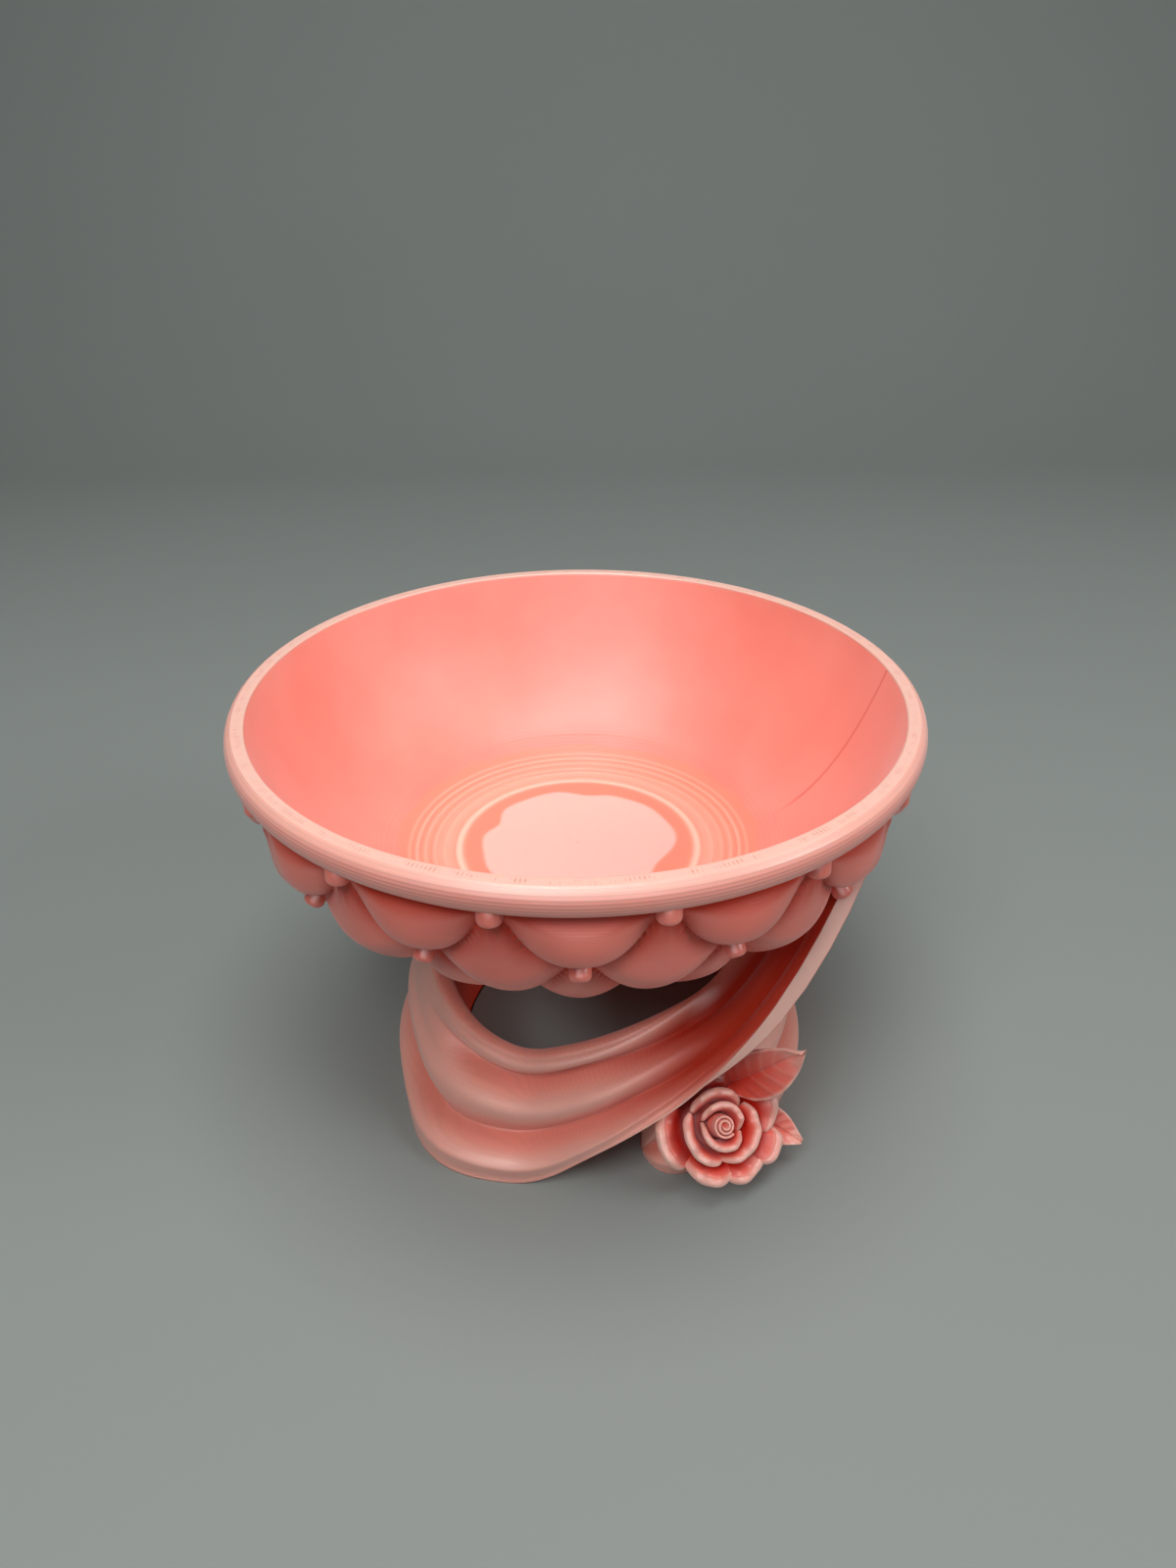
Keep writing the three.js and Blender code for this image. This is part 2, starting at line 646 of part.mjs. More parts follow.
// The calyx carries the flower: a bulb with a step for each ring of petals and for the bud.
function roseCalyx() {
  const beds = PETAL_RINGS.map(({ root, low }) => [root * ROSE_RADIUS, low * ROSE_DEPTH - CLEARANCE]);
  const steps = [[BUD_RADIUS, BUD_FOOT - CLEARANCE], ...beds].reverse();
  const profile = [[0, -CALYX_DEPTH], [CALYX_RADIUS / 2, -CALYX_DEPTH], [CALYX_RADIUS, -CALYX_DEPTH / 4]];
  profile.push([CALYX_RADIUS, steps[0][1]]);
  for (let i = 0; i + 1 < steps.length; i += 1) {
    const middle = (steps[i][0] + steps[i + 1][0]) / 2;
    profile.push([middle, steps[i][1]], [middle, steps[i + 1][1]]);
  }
  profile.push([0, BUD_FOOT - CLEARANCE]);
  return turned(profile, ROSE_STEPS);
}

// A leaf bends along its midrib; its two halves rise a little from the rib to the rim.
function leaf({ stem, tip, bow, width, face }) {
  const [turn, reach, rise] = stem;
  const start = swung(reach * ROSE_RADIUS, rise * ROSE_DEPTH, degToRad(turn)).applyMatrix4(roseFrame());
  const centre = new THREE.Vector3().setFromMatrixPosition(roseFrame());
  const along = centre.clone().addScaledVector(new THREE.Vector3(...tip), ROSE_RADIUS).sub(start);
  const normal = new THREE.Vector3(...face);
  normal.addScaledVector(along, -normal.dot(along) / along.lengthSq()).normalize();
  const side = along.clone().normalize().cross(normal);
  const breadth = width * ROSE_RADIUS;
  const rim = [[-1, 0.35], [-0.5, 1], [0, 0.8], [0.5, 1], [1, 0.35]];
  const loops = [];
  for (let i = 0; i <= LEAF_STEPS; i += 1) {
    const at = i / LEAF_STEPS;
    const round = Math.sin(Math.PI * at ** LEAF_ROUND) ** LEAF_ROUND;
    const half = (breadth / 2) * lerp(LEAF_STEM, 1, round);
    const rib = start.clone().addScaledVector(along, at);
    rib.addScaledVector(normal, bow * ROSE_RADIUS * Math.sin(Math.PI * at));
    const point = ([x, thick], way) => {
      const lift = Math.abs(x) * breadth * LEAF_DISH + (way * thick * LEAF_THICKNESS) / 2;
      return rib.clone().addScaledVector(side, x * half).addScaledVector(normal, lift);
    };
    loops.push([...rim.map((place) => point(place, 1)), ...rim.map((place) => point(place, -1)).reverse()]);
  }
  return loft(loops, false);
}

// The space round the calyx with a clearance, for trimming a leaf that grows from it.
function calyxSpace() {
  const [from, to] = [-CALYX_DEPTH - CLEARANCE, PETAL_RINGS[PETAL_RINGS.length - 1].low * ROSE_DEPTH];
  const wide = CALYX_RADIUS + CLEARANCE;
  return turned([[0, from], [wide, from], [wide, to], [0, to]], ROSE_STEPS);
}

const COLOURS = { bowl: 0xf2a79b, jacket: 0xdc9288, stand: 0xe29a8e, rose: 0xe88f84 };

function addMesh(group, name, geometry, colour) {
  const material = new THREE.MeshStandardMaterial({ color: colour, roughness: 0.38, metalness: 0 });
  const mesh = new THREE.Mesh(geometry, material);
  mesh.name = name;
  group.add(mesh);
}

function addBowl(group) {
  addMesh(group, 'bowl_liner', bowlLiner(), COLOURS.bowl);
  addMesh(group, 'rim_bead', rimBead(), COLOURS.bowl);
  addMesh(group, 'quilted_jacket', quiltedJacket(), COLOURS.jacket);
  allButtons().forEach((place) => addMesh(group, place.name, button(place), COLOURS.jacket));
}

function addStand(group) {
  addMesh(group, 'ribbon_front', cut(ribbon(0), [bowlSpace()]), COLOURS.stand);
  addMesh(group, 'ribbon_rear', cut(ribbon(1), [bowlSpace()]), COLOURS.stand);
}

// The flower is built in its own frame, where the ribbons' faces come in to trim it.
function roseGroup() {
  const rose = new THREE.Group();
  rose.applyMatrix4(roseFrame());
  const intoRose = roseFrame().invert();
  const faces = [0, 1].map((half) => ribbon(half, CLEARANCE).applyMatrix4(intoRose));
  addMesh(rose, 'rose_calyx', cut(roseCalyx(), faces), COLOURS.rose);
  addMesh(rose, 'rose_bud', roseBud(), COLOURS.rose);
  rosePetals().forEach(({ name, geometry }) => addMesh(rose, name, cut(geometry, faces), COLOURS.rose));
  return rose;
}

// The leaves are trimmed by the flower that they grow from and by the ribbon behind them.
function addLeaves(group) {
  const flower = [calyxSpace(), ...rosePetals(CLEARANCE).map(({ geometry }) => geometry)];
  const trims = [...flower.map((space) => space.applyMatrix4(roseFrame())), ribbon(1, CLEARANCE)];
  LEAVES.forEach((shape) => addMesh(group, shape.name, cut(leaf(shape), trims), COLOURS.rose));
}

function pedestalBowl() {
  const root = new THREE.Group();
  addBowl(root);
  addStand(root);
  root.add(roseGroup());
  addLeaves(root);
  return root;
}

export default pedestalBowl();
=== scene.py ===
"""A pedestal bowl printed in pink silk plastic, dressed on its fixed frame.

A smooth round bowl with a rolled rim and a button-tufted outside, two draped ribbons for a stand
and a rose at the foot. Shapes are worked out in millimetres and put into the meshes in metres.
Angles are in degrees, counter-clockwise from +X as seen from above, and the front is -Y.
"""

import bpy
import numpy as np
from mathutils import Matrix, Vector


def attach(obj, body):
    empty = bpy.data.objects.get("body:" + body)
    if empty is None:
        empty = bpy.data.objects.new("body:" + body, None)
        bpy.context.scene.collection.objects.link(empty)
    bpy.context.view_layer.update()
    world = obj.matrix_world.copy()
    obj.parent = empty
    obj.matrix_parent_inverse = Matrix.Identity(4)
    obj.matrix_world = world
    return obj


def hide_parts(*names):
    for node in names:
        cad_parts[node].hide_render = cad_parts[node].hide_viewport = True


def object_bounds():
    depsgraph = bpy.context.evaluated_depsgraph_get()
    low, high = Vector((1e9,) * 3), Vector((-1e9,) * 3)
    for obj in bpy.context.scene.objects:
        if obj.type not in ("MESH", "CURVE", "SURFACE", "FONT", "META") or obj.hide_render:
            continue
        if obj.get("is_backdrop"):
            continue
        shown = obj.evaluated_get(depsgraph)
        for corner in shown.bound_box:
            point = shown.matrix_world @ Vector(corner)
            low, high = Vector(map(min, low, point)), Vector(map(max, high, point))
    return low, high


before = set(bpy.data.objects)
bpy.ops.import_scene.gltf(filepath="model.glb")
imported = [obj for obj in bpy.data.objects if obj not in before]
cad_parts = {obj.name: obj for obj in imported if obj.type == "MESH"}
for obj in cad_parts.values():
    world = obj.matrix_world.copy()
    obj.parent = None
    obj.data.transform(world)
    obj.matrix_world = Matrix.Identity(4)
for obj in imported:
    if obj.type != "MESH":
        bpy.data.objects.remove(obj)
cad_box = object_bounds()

MM = 0.001

# Bowl
RIM_RADIUS = 100.0
RIM_HEIGHT = 135.0
BOWL_DEPTH = 56.1
FLOOR_RADIUS = 37.5
WALL = 2.2
WALL_LEAN = 16.5
WALL_HANDLE = 42.7
FLOOR_HANDLE = 28.5
BEAD_WIDTH = 5.7
BEAD_HEIGHT = 8.4
LAYER = 0.2
TERRACE_COUNT = 26
STEPPED_RADIUS = 57.5
GLOSS_RADIUS = 31.4
SEAM_ANGLE = 5.0
SEAM_WIDTH = 0.45

# Tufted jacket
JACKET_INSET = 4.5
SHOULDER_REACH = 4.0
SHOULDER_DROP = 17.4
HAUNCH_INSET = 11.0
HAUNCH_DROP = 34.2
SEAT_RADIUS = 60.0
SEAT_INNER_RADIUS = 47.0
SEAT_DROP = 4.7
JACKET_SKIN = 1.6
TUFT_COUNT = 15
UPPER_BUTTON_DROP = 10.0
LOWER_BUTTON_DROP = 29.0
LAST_ROW_LENGTH = 36.0
CREASE_FILL = 0.06
PUFF = 0.56
PLUMP = 1.06
LOW_PLUMP = 0.23
SAG = 6.0
DROOP = 0.21
LOW_CROWN = 0.95
GROOVE_DEPTH = 3.9
PLEAT_DEPTH = 0.5
UPPER_PEG = (3.1, 5.8)
LOWER_PEG = (2.7, 6.4)
PEG_ROUND = 1.6
CLEARANCE = 0.3

# Stand
STAND_OFFSET = 6.5
FOOT_RADIUS = 70.0
FOOT_WIDTH = 24.0
RIBBON_START = 102.0
RIBBON_END = 331.0
START_ROUND = 9.0
END_ROUND = 26.0
LIP_RADIUS = 57.0
LIP_HEIGHT = 36.0
LIP_THICKNESS = 5.0
BAND_THICKNESS = 7.0
FOLD_DEPTH = 4.2
FOLD_FIRST = 0.13
DISH_DEPTH = 2.6
HEM_HEIGHT = 1.3
CUT_DEPTH = 3.0

# Rose
ROSE_CENTRE = np.array([38.5, -63.0, 19.0])
ROSE_TURN = -72.0
ROSE_TILT = 45.0
PETAL_THICKNESS = 1.4
BUD_TURNS = 2.3
BUD_WALL = 0.36

MOUTH_RADIUS = RIM_RADIUS - BEAD_WIDTH
FLOOR_HEIGHT = RIM_HEIGHT - BOWL_DEPTH
SEAT_HEIGHT = FLOOR_HEIGHT - WALL - SEAT_DROP
BEAD_FLOOR = RIM_HEIGHT - BEAD_HEIGHT
JACKET_TOP = BEAD_FLOOR - CLEARANCE
LINER_TOP = RIM_HEIGHT - BEAD_HEIGHT / 2


def smooth(x, low, high):
    """0 below low, 1 above high, and 3t^2 - 2t^3 between them."""
    t = np.clip((x - low) / (high - low), 0, 1)
    return t * t * (3 - 2 * t)


def bump(x, middle, span):
    """A round hump: e to the minus square of the distance from its middle in spans."""
    return np.exp(-(((x - middle) / span) ** 2))


def past(x, start, span):
    """0 before the start, then the square of the distance from it in spans."""
    return np.maximum(0, (x - start) / span) ** 2


def ramp(x, start, blend):
    """0 before the bend, then rising one for one, with a round bend between."""
    into = np.clip(x - start + blend, 0, 2 * blend)
    return into ** 2 / (4 * blend) + np.maximum(0, x - start - blend)


def bezier(points, t):
    """A cubic curve: each control point weighed by its Bernstein polynomial of t."""
    p = np.asarray(points, float)
    t = np.asarray(t, float)[:, None]
    u = 1 - t
    return u ** 3 * p[0] + 3 * u ** 2 * t * p[1] + 3 * u * t ** 2 * p[2] + t ** 3 * p[3]


def swing(r, z, degrees):
    """Points of a plane through the axis, r out and z up, swung to an angle round that axis."""
    a = np.radians(degrees)
    return np.stack(np.broadcast_arrays(r * np.cos(a), r * np.sin(a), z), -1)


def skin(grid, ring=False):
    """Rows of equal closed loops joined by quads. Rows that aren't a ring end in a fan round the
    middle of their first and last loop. The faces are turned so that the volume is positive."""
    rows, around = grid.shape[:2]
    index = np.arange(rows * around).reshape(rows, around)
    if ring:
        index = np.vstack([index, index[:1]])
    side = np.roll(index, -1, axis=1)
    quads = np.stack([index[:-1], side[:-1], side[1:], index[1:]], -1).reshape(-1, 4)
    points = grid.reshape(-1, 3)
    fans = np.zeros((0, 3), int)
    if not ring:
        middles = grid[[0, -1]].mean(axis=1)
        first, last = len(points), len(points) + 1
        points = np.vstack([points, middles])
        start = np.column_stack([np.full(around, first), side[0], index[0]])
        end = np.column_stack([np.full(around, last), index[-1], side[-1]])
        fans = np.vstack([start, end])
    triangles = np.vstack([quads[:, [0, 1, 2]], quads[:, [0, 2, 3]], fans])
    a, b, c = (points[triangles[:, k]] for k in range(3))
    if np.einsum("ij,ij->", a, np.cross(b, c)) < 0:
        quads, fans = quads[:, ::-1], fans[:, ::-1]
    return points, quads, fans


def put(name, *shells, slot, nodes, marks=None):
    """Puts closed shells into one smooth mesh, in metres, that rides on the bowl's one body. The
    marks are three shares for each point of the first shell, which the material reads."""
    points, quads, fans, before = [], [], [], 0
    for shell in shells:
        points.append(shell[0])
        quads.append(shell[1] + before)
        fans.append(shell[2] + before)
        before += len(shell[0])
    points, quads, fans = np.vstack(points), np.vstack(quads), np.vstack(fans)
    corners = np.concatenate([quads.ravel(), fans.ravel()])
    starts = np.concatenate([4 * np.arange(len(quads)), 4 * len(quads) + 3 * np.arange(len(fans))])
    mesh = bpy.data.meshes.new(name)
    mesh.vertices.add(len(points))
    mesh.vertices.foreach_set("co", (points * MM).astype(np.float32).ravel())
    mesh.loops.add(len(corners))
    mesh.loops.foreach_set("vertex_index", corners.astype(np.int32))
    mesh.polygons.add(len(starts))
    mesh.polygons.foreach_set("loop_start", starts.astype(np.int32))
    mesh.polygons.foreach_set("use_smooth", np.ones(len(starts), bool))
    if marks is not None:
        layer = mesh.attributes.new("marks", "FLOAT_COLOR", "POINT")
        rgba = np.ones((len(points), 4), np.float32)
        rgba[:, :3] = 0
        rgba[:len(marks), :3] = marks
        layer.data.foreach_set("color", rgba.ravel())
    mesh.update(calc_edges=True)
    mesh.validate()
    piece = bpy.data.objects.new(name, mesh)
    bpy.context.scene.collection.objects.link(piece)
    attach(piece, "root")
    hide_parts(*nodes)
    return piece


# Materials

def linear(code):
    """An sRGB hex colour as linear red, green, blue and full alpha."""
    srgb = np.array([int(code[i:i + 2], 16) for i in (1, 3, 5)]) / 255
    low = srgb / 12.92
    high = ((srgb + 0.055) / 1.055) ** 2.4
    return (*np.where(srgb <= 0.04045, low, high).tolist(), 1.0)


def node(tree, kind, inputs=None, **settings):
    """Adds a node, sets its fields, and fills or links its inputs by name or number."""
    made = tree.nodes.new(kind)
    for field, value in settings.items():
        setattr(made, field, value)
    for key, value in (inputs or {}).items():
        if isinstance(value, bpy.types.NodeSocket):
            tree.links.new(value, made.inputs[key])
        else:
            made.inputs[key].default_value = value
    return made


def new_material(name):
    """An empty node material and its tree."""
    material = bpy.data.materials.new(name)
    material.use_nodes = True
    material.node_tree.nodes.clear()
    return material, material.node_tree


def mix(tree, share, colour, tone):
    """Goes from one colour to a tone by a share."""
    return node(tree, "ShaderNodeMix", {0: share, 6: colour, 7: tone}, data_type="RGBA").outputs[2]


def finish_surface(tree, shader):
    """Links the shader to the material's output."""
    node(tree, "ShaderNodeOutputMaterial", {"Surface": shader.outputs[0]})


# The crease colour a caller may give is the deep red of painted shade.
def silk_plastic(name, light, deep, roughness, line=0.7, tone=0.2, crease_shade="#C8351A",
                 marked=False, hatched=False):
    """Silk PLA as it leaves the nozzle: a pink pigment with a satin sheen, a little translucent,
    so that light that gets into it comes out redder. Its level layer lines are 0.2 mm apart, too
    fine to show, so they are drawn at `line` millimetres, each darker by a share of `tone`. Broad
    soft patches of a lighter pink are where the hot plastic was drawn out more or less."""
    material, tree = new_material(name)
    place = node(tree, "ShaderNodeTexCoord").outputs["Object"]
    cloud = node(tree, "ShaderNodeTexNoise", {"Vector": place, "Scale": 28.0, "Detail": 2.0})
    fine = node(tree, "ShaderNodeTexNoise", {"Vector": place, "Scale": 900.0, "Detail": 1.0})
    share = node(tree, "ShaderNodeMapRange", {0: cloud.outputs["Fac"], 1: 0.35, 2: 0.65})
    colour = mix(tree, share.outputs[0], linear(deep), linear(light))
    rough = node(tree, "ShaderNodeMapRange",
                 {0: cloud.outputs["Fac"], 3: roughness - 0.04, 4: roughness + 0.05}).outputs[0]
    lines = node(tree, "ShaderNodeTexWave",
                 {"Vector": place, "Scale": 2 * np.pi / (20 * line * MM), "Distortion": 0.0},
                 bands_direction="Z")
    shade = (*(0.8 * np.array(linear(deep)[:3])).tolist(), 1.0)
    streak = node(tree, "ShaderNodeMapRange",
                  {0: lines.outputs["Fac"], 1: 0.4, 2: 1.0, 3: 0.0, 4: tone})
    colour = mix(tree, streak.outputs[0], colour, shade)
    relief = node(tree, "ShaderNodeBump",
                  {"Strength": 0.5, "Distance": 0.00003, "Height": lines.outputs["Fac"]})
    relief = node(tree, "ShaderNodeBump",
                  {"Strength": 0.3, "Distance": 0.00004, "Height": fine.outputs["Fac"],
                   "Normal": relief.outputs[0]}).outputs[0]
    gloss = 1.0
    if marked:
        colour, rough = floor_marks(tree, colour, rough)
    elif hatched:
        colour, relief = crest_hatch(tree, place, colour, relief)
    else:
        # Otherwise the marks paint shade into creases and highlights onto edges.
        colour, gloss = painted_shade_and_highlight(tree, colour, crease_shade)
    shader = node(tree, "ShaderNodeBsdfPrincipled",
                  {"Base Color": colour, "Roughness": rough, "IOR": 1.46, "Normal": relief,
                   "Specular IOR Level": gloss, "Sheen Weight": 0.2, "Sheen Roughness": 0.5,
                   "Subsurface Weight": 0.25, "Subsurface Radius": (1.0, 0.3, 0.15),
                   "Subsurface Scale": 0.0015})
    finish_surface(tree, shader)
    return material


def painted_shade_and_highlight(tree, colour, crease_shade):
    """The vertex marks: red is painted shade, so creases, hollows and undersides are painted a deep
    red and most of their gloss is taken away; green is a painted highlight, so thin edges, ridges
    and lips are painted a paler pink."""
    # Painted shade by the red mark and a painted highlight by the green one.
    marks = node(tree, "ShaderNodeAttribute", attribute_name="marks").outputs["Color"]
    split = node(tree, "ShaderNodeSeparateColor", {0: marks}).outputs
    colour = mix(tree, split[0], colour, linear(crease_shade))
    colour = mix(tree, split[1], colour, linear("#F6C3B4"))
    return colour, node(tree, "ShaderNodeMapRange", {0: split[0], 3: 1.0, 4: 0.1}).outputs[0]


def floor_marks(tree, colour, rough):
    """The vertex marks: red is first the warmer tone of the stepped floor and then a painted
    highlight on each layer edge, green the smooth glossy middle, whose paler colour is a painted
    reflection of the light above, blue the seam."""
    marks = node(tree, "ShaderNodeAttribute", attribute_name="marks").outputs["Color"]
    split = node(tree, "ShaderNodeSeparateColor", {0: marks}).outputs
    zone = node(tree, "ShaderNodeMapRange", {0: split[0], 1: 0.0, 2: 0.35}).outputs[0]
    edge = node(tree, "ShaderNodeMapRange", {0: split[0], 1: 0.35, 2: 1.0}).outputs[0]
    # The edge tone is a painted highlight and the middle's tone a painted reflection.
    tones = ((zone, "#FB937A"), (edge, "#FFD2BC"), (split[1], "#FBC9BC"), (split[2], "#E2553F"))
    for share, tone in tones:
        colour = mix(tree, share, colour, linear(tone))
    rough = node(tree, "ShaderNodeMix", {0: split[1], 2: rough, 3: 0.22},
                 data_type="FLOAT").outputs[0]
    return colour, rough


def crest_hatch(tree, place, colour, relief):
    """The crest of the rim is filled with a zigzag of print lines: short ticks across the ring, 1.1
    mm apart, each a shade redder than the pale plastic between, and broken up by noise. The pale
    colour is partly the crest's print and partly a painted highlight of the light from above. The
    vertex marks: red is the crest, and at a lesser share the top of the nose, a painted highlight;
    green the strip along its inner edge where the ticks show."""
    swept = node(tree, "ShaderNodeTexGradient", {"Vector": place}, gradient_type="RADIAL")
    tick_count = 560
    ticks = node(tree, "ShaderNodeMath", {0: swept.outputs["Fac"], 1: 2 * np.pi * tick_count},
                 operation="MULTIPLY")
    wave = node(tree, "ShaderNodeMath", {0: ticks.outputs[0]}, operation="SINE")
    worn = node(tree, "ShaderNodeTexNoise", {"Vector": place, "Scale": 260.0, "Detail": 2.0})
    marks = node(tree, "ShaderNodeAttribute", attribute_name="marks").outputs["Color"]
    split = node(tree, "ShaderNodeSeparateColor", {0: marks}).outputs
    crest, border = split[0], split[1]
    uneven = node(tree, "ShaderNodeMapRange", {0: worn.outputs["Fac"], 1: 0.48, 2: 0.62})
    tick = node(tree, "ShaderNodeMapRange", {0: wave.outputs[0], 1: 0.1, 2: 0.9})
    for share in (uneven.outputs[0], border):
        tick = node(tree, "ShaderNodeMath", {0: tick.outputs[0], 1: share}, operation="MULTIPLY")
    # The pale crest: the top layer's print, lightened by a painted highlight.
    print_highlight = mix(tree, crest, colour, linear("#FDC5B4"))
    colour = mix(tree, tick.outputs[0], print_highlight, linear("#EA9482"))
    relief = node(tree, "ShaderNodeBump",
                  {"Strength": 0.6, "Distance": 0.0001, "Height": tick.outputs[0],
                   "Normal": relief})
    return colour, relief.outputs[0]


def plain(name, colours, roughness):
    """Matt studio paper: an even tone with a faint soft mottle between two greys."""
    material, tree = new_material(name)
    place = node(tree, "ShaderNodeTexCoord").outputs["Object"]
    cloud = node(tree, "ShaderNodeTexNoise", {"Vector": place, "Scale": 2.0, "Detail": 2.0})
    shade = mix(tree, cloud.outputs["Fac"], linear(colours[0]), linear(colours[1]))
    shader = node(tree, "ShaderNodeBsdfPrincipled", {"Base Color": shade, "Roughness": roughness})
    finish_surface(tree, shader)
    return material


# Camera, stage and light

def add_camera():
    """A wide phone lens in front of the bowl, above its rim, that looks down 31.5 degrees: its axes
    are the level line to the right, the line up from it, and the way it looks, rolled a little."""
    place = [0, -0.2751, 0.2692]
    yaw, pitch, roll = np.radians([0.68, 31.47, -0.46])
    ahead = np.array([np.sin(yaw) * np.cos(pitch), np.cos(yaw) * np.cos(pitch), -np.sin(pitch)])
    level = np.array([np.cos(yaw), -np.sin(yaw), 0])
    above = np.cross(level, ahead)
    right = level * np.cos(roll) + above * np.sin(roll)
    up = above * np.cos(roll) - level * np.sin(roll)
    data = bpy.data.cameras.new("camera")
    data.sensor_fit = "VERTICAL"
    data.sensor_height = 36.0
    data.lens = 23.8275
    camera = bpy.data.objects.new("camera", data)
    world = np.eye(4)
    world[:3, :3] = np.column_stack([right, up, -ahead])
    world[:3, 3] = place
    camera.matrix_world = Matrix(world.tolist())
    bpy.context.scene.collection.objects.link(camera)
    bpy.context.scene.camera = camera


def add_stage():
    """A sheet of studio paper: flat under the bowl, then swept up behind it in a quarter circle."""
    front, back, bend, rise, half_width = -2.4, 0.75, 0.5, 1.6, 2.6
    turn = np.radians(np.linspace(0, 90, 25))
    way = np.vstack([
        [[front, 0.0]],
        np.column_stack([back + bend * np.sin(turn), bend - bend * np.cos(turn)]),
        [[back + bend, rise]],
    ])
    across = np.linspace(-half_width, half_width, 15)
    points = np.array([[x, y, z] for x in across for y, z in way])
    columns, rows = len(across), len(way)
    index = np.arange(columns * rows).reshape(columns, rows)
    faces = np.stack([index[:-1, :-1], index[1:, :-1], index[1:, 1:], index[:-1, 1:]], -1)
    mesh = bpy.data.meshes.new("studio_paper")
    mesh.from_pydata(points.tolist(), [], faces.reshape(-1, 4).tolist())
    mesh.polygons.foreach_set("use_smooth", np.ones(len(mesh.polygons), bool))
    mesh.materials.append(plain("studio paper, matt grey", ("#858B88", "#8B918E"), 0.75))
    paper = bpy.data.objects.new("studio_paper", mesh)
    bpy.context.scene.collection.objects.link(paper)
    paper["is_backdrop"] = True


def add_lamp(name, place, aim, size, power, card=False):
    """A round lamp turned to its aim. A card is a white board that only shows in reflections."""
    data = bpy.data.lights.new(name, "AREA")
    data.shape = "DISK"
    data.size = size
    data.energy = power
    lamp = bpy.data.objects.new(name, data)
    lamp.visible_diffuse = not card
    way = np.array(aim, float) - np.array(place, float)
    way /= np.linalg.norm(way)
    side = np.cross(way, [0, 0, 1])
    side /= np.linalg.norm(side)
    world = np.eye(4)
    world[:3, :3] = np.column_stack([side, np.cross(side, way), -way])
    world[:3, 3] = place
    lamp.matrix_world = Matrix(world.tolist())
    bpy.context.scene.collection.objects.link(lamp)


def add_light():
    """A soft lamp above, one high in front and one from the right, a dim even sky, and a white
    board in front that gives the satin plastic something to reflect. The sky lights matt surfaces
    faintly, and is a paper grey where it is seen or mirrored."""
    add_lamp("soft_box", (0.0, -0.15, 1.25), (0, 0, 0.1), 0.7, 8.8)
    add_lamp("front_box", (-0.4, -0.85, 1.3), (0, 0, 0.06), 0.7, 9.6)
    add_lamp("side_box", (1.3, -0.5, 0.9), (0, 0, 0.06), 0.7, 8.0)
    add_lamp("white_board", (-0.1, -1.5, 0.55), (0, 0, 0.1), 1.9, 18.0, card=True)
    world = bpy.data.worlds.new("studio")
    bpy.context.scene.world = world
    world.use_nodes = True
    tree = world.node_tree
    sky = tree.nodes["Background"]
    ray = node(tree, "ShaderNodeLightPath").outputs
    seen = node(tree, "ShaderNodeMath", {0: ray["Is Camera Ray"], 1: ray["Is Glossy Ray"]},
                operation="MAXIMUM")
    strength = node(tree, "ShaderNodeMapRange", {0: seen.outputs[0], 3: 0.04, 4: 1.0})
    colour = mix(tree, seen.outputs[0], (1, 1, 1, 1), linear("#7C8280"))
    tree.links.new(strength.outputs[0], sky.inputs["Strength"])
    tree.links.new(colour, sky.inputs["Color"])


# Bowl

def inside_wall(t):
    """The inside of the bowl: a curve from the mouth, down a leaning wall, to the flat floor."""
    lean = np.radians(WALL_LEAN)
    return bezier([
        (MOUTH_RADIUS, RIM_HEIGHT),
        (MOUTH_RADIUS - WALL_HANDLE * np.sin(lean), RIM_HEIGHT - WALL_HANDLE * np.cos(lean)),
        (FLOOR_RADIUS + FLOOR_HANDLE, FLOOR_HEIGHT),
        (FLOOR_RADIUS, FLOOR_HEIGHT),
    ], t)


def offset_wall(offset, steps=400):
    """The inside curve moved square to itself, away from the bowl's hollow."""
    t = np.linspace(0, 1, steps)
    points = inside_wall(t)
    along = np.gradient(points, axis=0)
    along /= np.linalg.norm(along, axis=1)[:, None]
    return points + offset * np.stack([-along[:, 1], along[:, 0]], -1)


def terraces():
    """Where the print layers cut the low slope by the floor: each layer is a tread as wide as the
    curve runs while it climbs one layer, with a small round edge."""
    curve = inside_wall(np.linspace(0.3, 1, 3000))[::-1]
    heights = FLOOR_HEIGHT + LAYER * (np.arange(TERRACE_COUNT) + 0.12)
    edges = np.interp(heights, curve[:, 1], curve[:, 0])
    profile = []
    for k, edge in enumerate(edges):
        low, high = FLOOR_HEIGHT + LAYER * k, FLOOR_HEIGHT + LAYER * (k + 1)
        profile += [(edge - 0.16, low), (edge - 0.05, low + 0.03),
                    (edge + 0.02, high - 0.05), (edge + 0.12, high)]
    return edges, np.array(profile)


